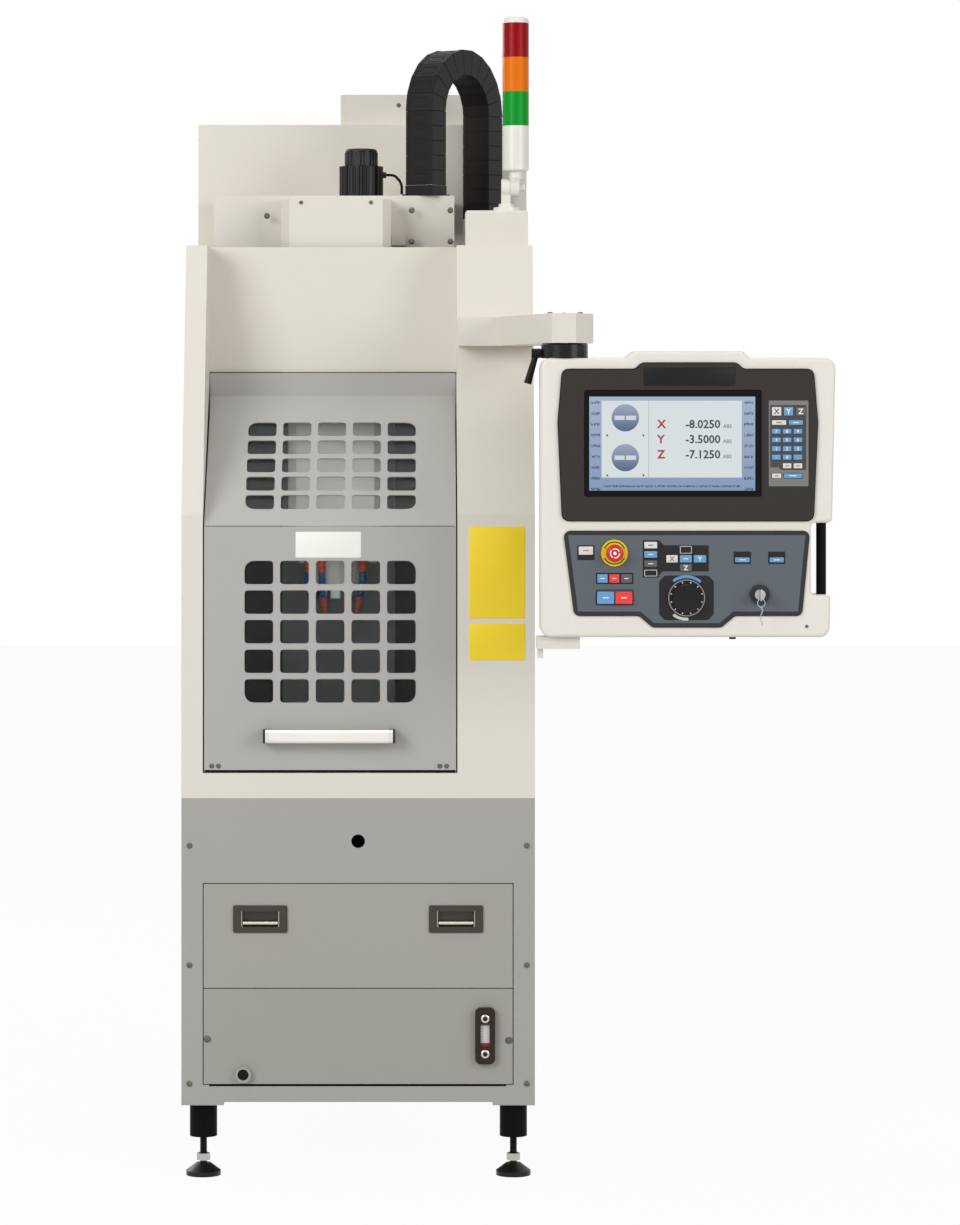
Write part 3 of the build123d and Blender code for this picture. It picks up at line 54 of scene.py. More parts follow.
# Camera: nine metres in front of the enclosure and level with the pendant's arm, where a product
# photographer stands for a tall machine. The long lens is shifted down rather than tilted.
front_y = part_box("right_column")[0].y
picture_width, picture_height = 960, 1225
metres_per_pixel = 0.002155
lens_axis_pixel, horizon_pixel = 418.0, 412.5
camera_reach, camera_x, camera_height = 9.0, 0.129, 1.65
photo_lens = bpy.data.cameras.new("photo_lens")
photo_lens.lens = photo_lens.sensor_width * camera_reach / (metres_per_pixel * picture_height)
photo_lens.shift_x = (picture_width / 2 - lens_axis_pixel) / picture_height
photo_lens.shift_y = (horizon_pixel - picture_height / 2) / picture_height
photo_lens.clip_end = 60.0
camera = bpy.data.objects.new("photo_camera", photo_lens)
camera.location = (camera_x, front_y - camera_reach, camera_height)
camera.rotation_euler = (math.pi / 2, 0, 0)
scene.collection.objects.link(camera)
scene.camera = camera


# Studio: a wide floor painted white under a white sky, two large soft boxes, a top light and a rear light.
# Floor and sky show white to the lens and in glossy metal, and the floor keeps a faint shadow of the feet.
class Wire:
    """A socket of a material. Sums on wires add Math nodes, and node() adds any other node."""

    def __init__(self, tree, socket=None):
        self.tree = tree
        self.socket = socket

    def node(self, kind, settings=None, sockets=None, output=0):
        made = self.tree.nodes.new("ShaderNode" + kind)
        for name, value in (settings or {}).items():
            setattr(made, name, value)
        for name, value in (sockets or {}).items():
            if isinstance(value, Wire):
                self.tree.links.new(value.socket, made.inputs[name])
            else:
                made.inputs[name].default_value = value
        return Wire(self.tree, made.outputs[output])

    def into(self, shader, name):
        self.tree.links.new(self.socket, shader.inputs[name])

    def place(self):
        """The point of the surface, in the machine's frame."""
        return self.node("TexCoord", output="Object")

    def split(self):
        """The X, Y and Z of a vector."""
        parts = self.node("SeparateXYZ", {}, {0: self}).socket.node.outputs
        return [Wire(self.tree, part) for part in parts]

    def noise(self, place, scale, detail):
        return self.node("TexNoise", {}, {"Vector": place, "Scale": scale, "Detail": detail})

    def bump(self, shader, strength, distance):
        raised = {"Height": self, "Strength": strength, "Distance": distance}
        self.node("Bump", {}, raised).into(shader, "Normal")

    def mix(self, low, high):
        """A colour between two, by this wire from 0 to 1."""
        return self.node("Mix", {"data_type": "RGBA"}, {0: self, 6: low, 7: high}, output=2)

    def sum(self, operation, first, second=0.0):
        return self.node("Math", {"operation": operation}, {0: first, 1: second})

    def __add__(self, other):
        return self.sum("ADD", self, other)

    def __sub__(self, other):
        return self.sum("SUBTRACT", self, other)

    def __rsub__(self, other):
        return self.sum("SUBTRACT", other, self)

    def __mul__(self, other):
        return self.sum("MULTIPLY", self, other)

    def __truediv__(self, other):
        return self.sum("DIVIDE", self, other)

    def __gt__(self, other):
        return self.sum("GREATER_THAN", self, other)

    def __lt__(self, other):
        return self.sum("LESS_THAN", self, other)

    def __abs__(self):
        return self.sum("ABSOLUTE", self)

    __radd__ = __add__
    __rmul__ = __mul__


def seen(red, green, blue):
    """A colour as it is seen, from 0 to 255 in each channel, as the shader's linear values."""
    return (*((channel / 255) ** 2.2 for channel in (red, green, blue)), 1.0)


def new_finish(name):
    material = bpy.data.materials.new(name)
    material.use_nodes = True
    return material, Wire(material.node_tree), material.node_tree.nodes["Principled BSDF"]


def seen_directly(wire):
    """1 where the lens, a shiny surface or glass shows a surface, and 0 where it only lights others."""
    path = [wire.node("LightPath", output=f"Is {kind} Ray") for kind in ("Camera", "Glossy", "Transmission")]
    return path[0] + path[1] + path[2]


floor_half, floor_glow = 20.0, 0.95
floor_mesh = bpy.data.meshes.new("studio_floor")
floor_corners = [(x * floor_half, y * floor_half, 0) for x, y in ((-1, -1), (1, -1), (1, 1), (-1, 1))]
floor_mesh.from_pydata(floor_corners, [], [(0, 1, 2, 3)])
floor_paint, wire = new_finish("studio_white")[:2]
floor_diffuse = wire.node("BsdfDiffuse", {}, {"Color": seen(220, 220, 220)})
floor_white = wire.node("Emission", {}, {"Color": (1, 1, 1, 1), "Strength": 1.0})
floor_share = seen_directly(wire) * floor_glow
floor_mix = wire.node("MixShader", {}, {0: floor_share, 1: floor_diffuse, 2: floor_white})
floor_mix.into(floor_paint.node_tree.nodes["Material Output"], "Surface")
floor_mesh.materials.append(floor_paint)
floor = bpy.data.objects.new("studio_floor", floor_mesh)
scene.collection.objects.link(floor)
sky_light, sky_glow = 0.36, 0.64
sky = bpy.data.worlds.new("studio_sky")
sky.use_nodes = True
sky_background = sky.node_tree.nodes["Background"]
sky_background.inputs["Color"].default_value = (1.0, 1.0, 1.0, 1.0)
(sky_light + seen_directly(Wire(sky.node_tree)) * sky_glow).into(sky_background, "Strength")
scene.world = sky
for name, place, aim, size, power in (
    ("left_soft_box", (-4.5, -6.0, 4.2), (0.1, 0.0, 1.3), 3.6, 266.0),
    ("right_soft_box", (5.0, -5.0, 3.0), (0.2, 0.0, 1.3), 3.0, 134.0),
    ("top_light", (0.0, -1.0, 6.5), (0.0, 0.2, 1.0), 3.0, 45.0),
    ("rear_light", (-3.5, 4.0, 3.6), (0.0, 0.4, 1.4), 2.4, 70.0),
):
    lamp = bpy.data.lights.new(name, "AREA")
    lamp.size, lamp.energy = size, power
    lamp_object = bpy.data.objects.new(name, lamp)
    lamp_object.location = place
    lamp_object.rotation_euler = (Vector(aim) - Vector(place)).to_track_quat("-Z", "Y").to_euler()
    scene.collection.objects.link(lamp_object)


# Levelling feet: black turned steel pads and threaded stems, each with a zinc-plated lock nut, under black
# rubber sleeves that hide the top of the stem. The blacking is cloudy and half glossy.
def toned(colour, share):
    """A colour made darker or lighter by a share."""
    return (*(min(channel * share, 1.0) for channel in colour[:3]), 1.0)


def finish_metal(name, colour, roughness, cloud_scale, bloom=0.12, streak=(1.0, 1.0, 1.0), depth=0.12):
    """Bare or plated metal: a cloudy tone, and fine marks stretched along the way it was ground."""
    material, wire, shader = new_finish(name)
    place = wire.place()
    cloud = wire.noise(place, cloud_scale, 3.0)
    marks = wire.noise(wire.node("Mapping", {}, {"Vector": place, "Scale": streak}), 400.0, 2.0)
    shader.inputs["Metallic"].default_value = 1.0
    cloud.mix(toned(colour, 1 - bloom), colour).into(shader, "Base Color")
    (roughness + (marks - 0.5) * 0.25 + (cloud - 0.5) * 0.15).into(shader, "Roughness")
    marks.bump(shader, depth, 0.0004)
    return material


def finish_paint(name, colour, roughness, grain_scale, grain, drift=0.03, gloss=0.5):
    """Powder coat or moulded plastic: an even colour with a slow drift of tone and a fine pebbled skin."""
    material, wire, shader = new_finish(name)
    place = wire.place()
    cloud = wire.noise(place, 2.6, 4.0)
    pebble = wire.noise(place, grain_scale, 1.0)
    shader.inputs["Specular IOR Level"].default_value = gloss
    tone = (cloud + (pebble - 0.5) * 0.3).mix(toned(colour, 1 - drift), toned(colour, 1 + drift))
    tone.into(shader, "Base Color")
    (roughness + (pebble - 0.5) * 0.12 + (cloud - 0.5) * 0.08).into(shader, "Roughness")
    pebble.bump(shader, grain, 0.0006)
    return material


def dress(finish, *solids):
    """Give solids of the model their finish."""
    for solid in solids:
        nodes[solid].data.materials.clear()
        nodes[solid].data.materials.append(finish)


zinc_plate = finish_metal("zinc_plate", seen(196, 197, 200), 0.34, 18.0, 0.22)
# This black serves the rubber parts, and the painted shade in the gap under the tank panel.
black_rubber = finish_paint("black_rubber", seen(15, 13, 12), 0.55, 900.0, 0.25, 0.12, gloss=0.08)
foot_steel, wire, foot_shader = new_finish("foot_steel")
foot_place = wire.place()
foot_level = foot_place.split()[2]
nut_low, nut_high, thread_pitch = 0.032, 0.047, 0.00175
nut_band = (foot_level > nut_low) * (foot_level < nut_high)
thread = wire.sum("SINE", foot_level * (2 * math.pi / thread_pitch))
foot_shader.inputs["Specular IOR Level"].default_value = 0.3
nut_band.mix(seen(22, 21, 20), seen(184, 182, 176)).into(foot_shader, "Base Color")
nut_band.into(foot_shader, "Metallic")
(0.22 + wire.noise(foot_place, 60.0, 3.0) * 0.24).into(foot_shader, "Roughness")
(thread * (foot_level > nut_high)).bump(foot_shader, 0.8, 0.0008)
dress(foot_steel, "levelling_feet")
dress(black_rubber, "leg_sleeves")

# Base cabinet: a welded box of sheet steel with leg plates, powder coated in a fine-textured neutral
# grey. Button-head screws hold its front and side panels.
base_grey = finish_paint("base_grey_coat", seen(166, 164, 159), 0.46, 1300.0, 0.22)
dress(base_grey, "base_cabinet")


def skin(build, rows, finish=0, capped=True):
    """Faces from row to row of corners, each row closed on itself, with both end rows filled if capped."""
    faces = [build.faces.new(rows[0][::-1]), build.faces.new(rows[-1])] if capped else []
    for near, far in zip(rows, rows[1:]):
        for index in range(len(near)):
            faces.append(build.faces.new((near[index - 1], near[index], far[index], far[index - 1])))
    for face in faces:
        face.material_index = finish


def add_turned(build, profile, place, axis, sides=20):
    """A turned shape: rings of (radius, distance along the axis) from a place, closed at both ends."""
    turn = Vector(axis).to_track_quat("Z", "Y").to_matrix()
    angles = [2 * math.pi * side / sides for side in range(sides)]
    rows = []
    for radius, along in profile:
        ring = [Vector((radius * math.cos(angle), radius * math.sin(angle), along)) for angle in angles]
        rows.append([build.verts.new(Vector(place) + turn @ spot) for spot in ring])
    skin(build, rows)


def new_piece(name, build, body, *finishes):
    """Turn a mesh in the making into a piece of the machine that moves with a body, if one is given."""
    bmesh.ops.recalc_face_normals(build, faces=build.faces[:])
    mesh = bpy.data.meshes.new(name)
    build.to_mesh(mesh)
    build.free()
    for finish in finishes:
        mesh.materials.append(finish)
    mesh.shade_smooth()
    mesh.set_sharp_from_angle(angle=math.radians(34))
    piece = bpy.data.objects.new(name, mesh)
    scene.collection.objects.link(piece)
    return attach(piece, body) if body else piece


dark_screw = finish_metal("dark_screw_steel", seen(120, 118, 114), 0.36, 30.0, 0.3)


def new_screws(name, body, places, axis, radius):
    """Button-head screws: low domes with a round socket, standing out along an axis."""
    height = 0.55 * radius
    profile = [
        (radius, 0.0), (radius, 0.2 * height), (0.9 * radius, 0.65 * height), (0.62 * radius, height),
        (0.46 * radius, height), (0.44 * radius, 0.3 * height),
    ]
    build = bmesh.new()
    for place in places:
        add_turned(build, profile, place, axis, sides=16)
    new_piece(name, build, body, dark_screw)


toward, backward, leftward, rightward = (0, -1, 0), (0, 1, 0), (-1, 0, 0), (1, 0, 0)
upward, downward = (0, 0, 1), (0, 0, -1)
base_low, base_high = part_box("base_cabinet")
base_screw_x, base_screw_rows, base_screw_radius = 0.3635, (0.2035, 0.459, 0.7165), 0.0062
base_front_places = [(side * base_screw_x, front_y, z) for side in (-1, 1) for z in base_screw_rows]
new_screws("base_front_screws", "machine", base_front_places, toward, base_screw_radius)
side_screw_depths, side_screw_rows, side_screw_radius = (0.10, 0.42, 0.80, 1.12), (0.199, 0.7245), 0.0052
base_sides = (("base_left_screws", base_low.x, leftward), ("base_right_screws", base_high.x, rightward))
for name, x, axis in base_sides:
    side_places = [(x, front_y + depth, z) for depth in side_screw_depths for z in side_screw_rows]
    new_screws(name, "machine", side_places, axis, side_screw_radius)


# Chip drawer: a folded steel front with two recessed pulls in brown pressed-steel frames, screwed to a
# zinc-plated tray that slides on runners under the chip chute.
def softened(corners, radius, steps=5):
    """An outline with its corners rounded by one radius."""
    outline = []
    count = len(corners)
    for index in range(count):
        before, here, after = (Vector(corners[(index + step) % count]) for step in (-1, 0, 1))
        back, ahead = (before - here).normalized(), (after - here).normalized()
        reach = radius * math.tan((math.pi - back.angle(ahead)) / 2)
        first, last = here + back * reach, here + ahead * reach
        for step in range(steps + 1):
            share = step / steps
            point = first * (1 - share) ** 2 + here * 2 * share * (1 - share) + last * share ** 2
            outline.append(tuple(point))
    return outline


def rounded(x0, x1, z0, z1, corner):
    """A front-view rectangle with round corners, anticlockwise."""
    return softened([(x1, z0), (x1, z1), (x0, z1), (x0, z0)], corner)


def inset(outline, amount):
    """The same outline drawn smaller by an even margin."""
    count = len(outline)
    drawn = []
    for index in range(count):
        before, here, after = (Vector(outline[(index + step) % count]) for step in (-1, 0, 1))
        first = Vector((before.y - here.y, here.x - before.x)).normalized()
        second = Vector((here.y - after.y, after.x - here.x)).normalized()
        drawn.append(tuple(here + (first + second) / (1 + first.dot(second)) * amount))
    return drawn


def add_rim(build, outline, width, front, thickness):
    """A flat rim along the inside of an outline, seen from the front."""
    inside, back = inset(outline, width), front + thickness
    rows = [
        [build.verts.new((x, y, z)) for x, z in line]
        for line, y in ((outline, front), (inside, front), (inside, back), (outline, back))
    ]
    skin(build, rows + rows[:1], capped=False)


# Painted shade: the drawer's grey is a little darker than the cabinet's coat, for the weaker light low on the
# base.
drawer_grey = finish_paint("drawer_grey_coat", seen(164, 161, 155), 0.46, 1300.0, 0.22)
pull_brown = finish_paint("pull_brown_enamel", seen(56, 48, 42), 0.34, 240.0, 0.2, 0.12)
tray_zinc = finish_metal("tray_zinc", seen(186, 188, 190), 0.4, 6.0, 0.25, (1.0, 8.0, 1.0))
bright_lip = finish_metal("pull_lip_steel", seen(222, 214, 202), 0.26, 60.0, 0.15, (0.2, 1.0, 6.0))
dress(drawer_grey, "drawer_front")
dress(pull_brown, "drawer_pulls")
dress(tray_zinc, "chip_tray")
pull_offset, lip_length, lip_radius, lip_end, lip_z = 0.211, 0.077, 0.0040, 0.0012, 0.5495
pull_rim_half, pull_rim_low, pull_rim_high, pull_rim_proud = 0.0405, 0.5405, 0.5775, 0.0016
lip_profile = [
    (lip_radius * 0.6, 0.0), (lip_radius, lip_end), (lip_radius, lip_length - lip_end),
    (lip_radius * 0.6, lip_length),
]
pull_lips = bmesh.new()
for side in (-1, 1):
    pull_x = side * pull_offset
    add_turned(pull_lips, lip_profile, (pull_x - lip_length / 2, front_y + 0.0015, lip_z), rightward)
    pull_left, pull_right = pull_x - pull_rim_half, pull_x + pull_rim_half
    pocket_rim = rounded(pull_left, pull_right, pull_rim_low, pull_rim_high, corner=0.005)
    add_rim(pull_lips, pocket_rim, 0.0011, front_y - pull_rim_proud, pull_rim_proud)
new_piece("pull_lips", pull_lips, "chip_drawer", bright_lip)


# Coolant tank: a zinc-plated steel tank behind a screwed grey front panel, with a sight gauge clamped by
# two hollow bolts and a drain fitting in the lower corner.
def add_plate(build, outline, front, thickness, edge=0.0, finish=0):
    """A plate facing the front at Y front, with its thickness behind it and a rounded front edge."""
    levels = [(edge, 0.0), (edge * 0.3, edge * 0.3), (0.0, edge)] if edge else [(0.0, 0.0)]
    rows = [
        [build.verts.new((x, front + back, z)) for x, z in (inset(outline, margin) if margin else outline)]
        for margin, back in levels + [(0.0, thickness)]
    ]
    skin(build, rows[::-1], finish)


def new_plate(name, body, finish, outline, front, thickness, edge=0.0):
    """A piece that is one plate."""
    build = bmesh.new()
    add_plate(build, outline, front, thickness, edge)
    new_piece(name, build, body, finish)


def middle(solid):
    """The middle of a solid's box."""
    low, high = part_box(solid)
    return (low + high) / 2


# Painted shade: the tank panel's grey is darker again than the drawer's, for the weaker light low on the
# base.
tank_grey = finish_paint("tank_grey_coat", seen(161, 158, 152), 0.46, 1300.0, 0.22)
gauge_chrome = finish_metal("gauge_dark_chrome", seen(64, 56, 50), 0.24, 20.0, 0.2)
dress(tank_grey, "tank_panel", "drain_fitting")
dress(tray_zinc, "coolant_tank")
dress(gauge_chrome, "sight_gauge")
panel_front, panel_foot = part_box("tank_panel")[0].yz
panel_places = [(x, panel_front, z) for x, z in ((-0.325, 0.300), (0.325, 0.297))]
new_screws("tank_panel_screws", "machine", panel_places, toward, radius=0.0075)
gauge_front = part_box("sight_gauge")[0].y
gauge_x, gauge_z = middle("sight_gauge").xz
gauge_half_width, gauge_half_height, gauge_face, card_thickness = 0.0095, 0.0235, gauge_front + 0.0105, 0.001
gauge_left, gauge_right = gauge_x - gauge_half_width, gauge_x + gauge_half_width
gauge_bottom, gauge_top = gauge_z - gauge_half_height, gauge_z + gauge_half_height
red_top, mark_pitch, mark_count, mark_height, mark_margin = gauge_bottom + 0.008, 0.0055, 6, 0.0008, 0.002
gauge = bmesh.new()
card_outline = rounded(gauge_left, gauge_right, gauge_bottom, gauge_top, corner=0.002)
add_plate(gauge, card_outline, gauge_face, card_thickness)
red_outline = rounded(gauge_left, gauge_right, gauge_bottom, red_top, corner=0.001)
add_plate(gauge, red_outline, gauge_face - 0.0003, card_thickness, finish=1)
for mark in range(mark_count):
    level = red_top + (mark + 0.5) * mark_pitch
    mark_outline = rounded(gauge_left, gauge_x - mark_margin, level, level + mark_height, corner=0.0002)
    add_plate(gauge, mark_outline, gauge_face - 0.0002, card_thickness, finish=2)
card_white = finish_paint("gauge_card_white", seen(206, 206, 204), 0.4, 300.0, 0.05)
card_red = finish_paint("gauge_card_red", seen(132, 34, 34), 0.4, 300.0, 0.02)
card_ink = finish_paint("gauge_card_ink", seen(120, 118, 118), 0.4, 300.0, 0.02)
new_piece("gauge_card", gauge, "machine", card_white, card_red, card_ink)
bright_bolt = finish_metal("gauge_bolt_steel", seen(214, 208, 198), 0.2, 30.0, 0.12)
bolt_pitch, bolt_root = 0.038, 0.005
bolt_profile = [
    (0.0098, 0.0), (0.0098, 0.004), (0.0088, 0.0062), (0.0062, 0.0074), (0.0052, 0.0074), (0.005, 0.004),
]
gauge_bolts = bmesh.new()
for side in (-1, 1):
    bolt_place = (gauge_x, gauge_front + bolt_root, gauge_z + side * bolt_pitch)
    add_turned(gauge_bolts, bolt_profile, bolt_place, toward, sides=24)
new_piece("gauge_bolts", gauge_bolts, "machine", bright_bolt)
# This black serves the plastic clamp lever and cable socket, and the painted shade in the drain's hole.
black_plastic_and_shade = finish_paint("black_plastic_and_painted_shade", seen(18, 17, 17), 0.5, 700.0, 0.15, 0.1, gloss=0.2)
drain_x, drain_z = middle("drain_fitting").xz
# Painted shade: a black disc set deep in the drain fitting's hole darkens the hole.
hole_shade_profile = [(0.0117, 0.0), (0.0117, 0.002), (0.007, 0.002), (0.0066, 0.0005)]
drain_hole_shade = bmesh.new()
hole_shade_place = (drain_x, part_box("drain_fitting")[0].y + 0.0086, drain_z)
add_turned(drain_hole_shade, hole_shade_profile, hole_shade_place, toward, sides=24)
new_piece("drain_hole_shade", drain_hole_shade, "machine", black_plastic_and_shade)
# Painted shade: a thin black strip under the tank panel stands in for the shade of the gap below it.
shade_strip_left, shade_strip_right, shade_strip_height, shade_strip_gap, shade_strip_proud = -0.321, 0.319, 0.0045, 0.0002, 0.0006
shade_strip_top = panel_foot - shade_strip_gap
shade_strip_outline = rounded(shade_strip_left, shade_strip_right, shade_strip_top - shade_strip_height, shade_strip_top, corner=0.0008)
new_plate("tank_panel_gap_shade", "machine", black_rubber, shade_strip_outline, front_y - shade_strip_proud, shade_strip_proud)


# Enclosure: folded steel walls, a sill, a hood and a box column, powder coated in a warm off-white, with
# painted shade in dark grey on the inside faces behind the door. Plain yellow plates are riveted to the
# column.
def reopen(material):
    """A finish's wire, shader and present colour, so that a second tone can go over the first."""
    shader = material.node_tree.nodes["Principled BSDF"]
    tone = shader.inputs["Base Color"].links[0].from_socket
    return Wire(material.node_tree), shader, Wire(material.node_tree, tone)


warm_white = finish_paint("warm_white_coat", seen(224, 219, 208), 0.42, 1500.0, 0.16, 0.018)
wire, wall_shader, outside_tone = reopen(warm_white)
wall_x, wall_y, wall_z = wire.place().split()
door_foot_z, door_lean, door_back, hood_back = 1.4058, 0.87, 0.018, 0.306
inside_left, inside_right, inside_back, inside_top = -0.3353, 0.2143, 1.003, 2.0175
wall_depth = wall_y - front_y
lean_depth = (wall_z - door_foot_z) * door_lean + door_back
door_limits = {"Value": lean_depth, "Min": door_back, "Max": hood_back}
door_depth = wire.node("Clamp", {"clamp_type": "MINMAX"}, door_limits)
inside = (wall_depth > door_depth) * (wall_depth < inside_back) * (wall_z < inside_top)
inside = inside * (wall_x > inside_left) * (wall_x < inside_right)
# Painted shade: the faces inside the enclosure, behind the door, go from mid grey low down to near black at
# the top.
inside_shade_low, inside_shade_high = 0.95, 1.75
inside_shade = ((wall_z - inside_shade_low) / (inside_shade_high - inside_shade_low)).mix(seen(104, 103, 100), seen(26, 25, 24))
inside.mix(outside_tone, inside_shade).into(wall_shader, "Base Color")
dress(warm_white, "left_wall", "right_column", "right_wall", "sill", "hood")
plate_yellow = finish_paint("plate_yellow", seen(255, 222, 44), 0.38, 200.0, 0.04, 0.02)
plate_left, plate_right, plate_thickness = 0.2395, 0.3595, 0.0012
plate_spans = ((1.2062, 1.404), (1.1162, 1.1958))
column_plates = bmesh.new()
for bottom, top in plate_spans:
    plate_outline = rounded(plate_left, plate_right, bottom, top, corner=0.004)
    add_plate(column_plates, plate_outline, front_y - plate_thickness, plate_thickness, edge=0.0004)
new_piece("column_plates", column_plates, "machine", plate_yellow)

# Rear cabinet and tower: the electrical cabinet behind the enclosure with its hinged door, and the folded
# tower above it that guards the column and carries a vented box.
dress(warm_white, "rear_cabinet", "cabinet_door", "rear_tower", "top_box")
box_low, box_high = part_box("top_box")
box_screw_z = (box_low.z + box_high.z) / 2 + 0.012
box_places = [(x, box_low.y, box_screw_z) for x in (box_low.x + 0.135, box_high.x - 0.04)]
new_screws("top_box_screws", "machine", box_places, toward, radius=0.0052)
tower_low, tower_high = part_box("rear_tower")
back_margin, side_margin, tower_side_depths = 0.04, 0.03, (0.05, 0.26, 0.47)
back_columns = (tower_low.x + back_margin, (tower_low.x + tower_high.x) / 2, tower_high.x - back_margin)
back_rows = (tower_low.z + back_margin, tower_high.z - back_margin)
back_places = [(x, tower_high.y, z) for x in back_columns for z in back_rows]
new_screws("tower_back_screws", "machine", back_places, backward, radius=0.0062)
side_rows = (tower_low.z + side_margin, tower_high.z - side_margin)
side_places = [(tower_low.x, tower_low.y + depth, z) for depth in tower_side_depths for z in side_rows]
new_screws("tower_side_screws", "machine", side_places, leftward, side_screw_radius)

# Bed, column, saddle and table: grey-painted castings with ground steel guide rails, and a ground table
# with slots for clamps.
casting_grey = finish_paint("casting_grey_paint", seen(150, 153, 155), 0.5, 260.0, 0.5, 0.06)
ground_steel = finish_metal("ground_steel", seen(176, 178, 180), 0.28, 12.0, 0.2, (1.0, 14.0, 1.0))
dress(casting_grey, "machine_bed", "column", "saddle")
dress(ground_steel, "linear_rails", "table")

# Head: a light grey casting that carries the spindle and slides on the column, with folded covers over its
# belt, a black fluted motor, and blue jointed coolant hoses with orange fittings and nozzles.
head_grey = finish_paint("head_grey_paint", seen(222, 217, 209), 0.42, 320.0, 0.35, 0.04)
motor_black = finish_paint("motor_black", seen(17, 15, 14), 0.34, 800.0, 0.2, 0.1, gloss=0.28)
dress(head_grey, "head_casting")
dress(ground_steel, "spindle")
dress(warm_white, "head_cover", "belt_cover")
dress(motor_black, "spindle_motor")
dress(black_rubber, "motor_cable")
motor_y, motor_cap_radius = middle("spindle_motor").y, 0.036
motor_cap_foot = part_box("spindle_motor")[1].z - 0.0385
rib_count, rib_length, rib_radius, rib_tip = 30, 0.031, 0.0017, 0.0004
rib_profile = [
    (rib_radius * 0.5, 0.0), (rib_radius, 0.001), (rib_radius, rib_length - 0.002), (rib_tip, rib_length),
]
motor_ribs = bmesh.new()
for rib in range(rib_count):
    angle = 2 * math.pi * rib / rib_count
    rib_x, rib_y = motor_cap_radius * math.cos(angle), motor_y + motor_cap_radius * math.sin(angle)
    add_turned(motor_ribs, rib_profile, (rib_x, rib_y, motor_cap_foot), upward, sides=8)
new_piece("motor_cap_ribs", motor_ribs, "head", motor_black)
cover_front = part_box("head_cover")[0].y
cover_spots = ((-0.211, 2.0925), (0.115, 2.105), (0.202, 2.105), (0.115, 2.035), (0.202, 2.035))
new_screws("head_cover_screws", "head", [(x, cover_front, z) for x, z in cover_spots], toward, radius=0.0068)
belt_low, belt_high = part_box("belt_cover")
belt_margin, belt_screw_z = 0.045, belt_high.z - 0.008
belt_places = [(x, belt_low.y, belt_screw_z) for x in (belt_low.x + belt_margin, belt_high.x - belt_margin)]
new_screws("belt_cover_screws", "head", belt_places, toward, radius=0.0045)
hose_blue, wire, hose_shader = new_finish("hose_blue")
hose_low, hose_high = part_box("coolant_hoses")
nozzle_height, fitting_height = 0.033, 0.036
hose_height = wire.place().split()[2]
orange_part = (hose_height < hose_low.z + nozzle_height) + (hose_height > hose_high.z - fitting_height)
orange_part.mix(seen(24, 92, 158), seen(230, 88, 32)).into(hose_shader, "Base Color")
hose_ring = wire.sum("SINE", hose_height * 420.0)
hose_ring.bump(hose_shader, 0.7, 0.001)
(0.34 + hose_ring * 0.06).into(hose_shader, "Roughness")
dress(hose_blue, "coolant_hoses")
hose_ring_radius, hose_drop, hose_lean_share, joint_pitch = 0.071, 0.060, 0.25, 0.0098
joint_profile = [(0.0069, 0.0), (0.0082, 0.0012), (0.0086, 0.0040), (0.0079, 0.0074), (0.0069, 0.0088)]
spindle_x, spindle_y = middle("spindle").xy
hose_joints = bmesh.new()
for degrees in (-150.0, -115.0, -65.0, -30.0):
    hose_out = Vector((math.cos(math.radians(degrees)), math.sin(math.radians(degrees)), 0.0))
    hose_top = Vector((spindle_x, spindle_y, hose_high.z)) + hose_out * hose_ring_radius
    hose_knee = hose_top + Vector(downward) * hose_drop
    hose_lean = (Vector(downward) - hose_out * hose_lean_share).normalized()
    hose_runs = ((hose_top, Vector(downward), 6, 0.001), (hose_knee, hose_lean, 4, 0.0015))
    for start, heading, count, lead in hose_runs:
        for joint in range(count):
            joint_place = start + heading * (joint * joint_pitch + lead)
            add_turned(hose_joints, joint_profile, joint_place, heading, sides=14)
new_piece("hose_joints", hose_joints, "head", hose_blue)

# Cable chain: moulded black nylon links that clip together side by side, with lids over the cables. It runs
# up from a shoe on the head, over a half turn and down to an anchor.
chain_turn, chain_arc_links, chain_front_links, chain_rear_links = math.radians(34.0), 11, 5, 7
chain_pitch, chain_width, chain_height, chain_cheek = 0.0335, 0.072, 0.057, 0.009
chain_radius = chain_arc_links * chain_pitch / math.pi
chain_foot = Vector((0.147, front_y + 0.450, 0.0))
chain_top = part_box("cable_chain")[1].z - chain_radius - chain_height / 2
chain_across = Vector((math.sin(chain_turn), math.cos(chain_turn), 0.0))


def chain_place(travel):
    """Where a point on the chain's line is, with the chain's forward, outward and sideways directions."""
    up = Vector(upward)
    front_length, arc_length = chain_front_links * chain_pitch, math.pi * chain_radius
    if travel < front_length:
        point, outward, forward = chain_foot + up * (chain_top - front_length + travel), -chain_across, up
    elif travel < front_length + arc_length:
        angle = (travel - front_length) / chain_radius
        outward = up * math.sin(angle) - chain_across * math.cos(angle)
        forward = up * math.cos(angle) + chain_across * math.sin(angle)
        point = chain_foot + chain_across * chain_radius + up * chain_top + outward * chain_radius
    else:
        drop = travel - front_length - arc_length
        point = chain_foot + chain_across * 2 * chain_radius + up * (chain_top - drop)
        outward, forward = chain_across, -up
    turn = Matrix((forward, outward, forward.cross(outward))).transposed().to_4x4()
    return Matrix.Translation(point) @ turn


def add_link_plate(build, placing, outline, centre, thickness, edge):
    """A moulded plate of a link: an outline along and across the chain, set out to one side of its middle."""
    half = thickness / 2
    rows = [
        [build.verts.new(placing @ Vector((x, y, centre + side))) for x, y in inset(outline, margin)]
        for margin, side in ((edge, -half), (0.0, edge - half), (0.0, half - edge), (edge, half))
    ]
    skin(build, rows)


link_half, link_gap, half_height = chain_pitch / 2, 0.00025, chain_height / 2


def link_side(bottom, top, bend):
    """A link's side between two levels: its ends lean out where the chain bends."""
    low, high = ((link_half - link_gap) * (1 + level * bend) for level in (bottom, top))
    return [(-low, bottom), (low, bottom), (high, top), (-high, top)]


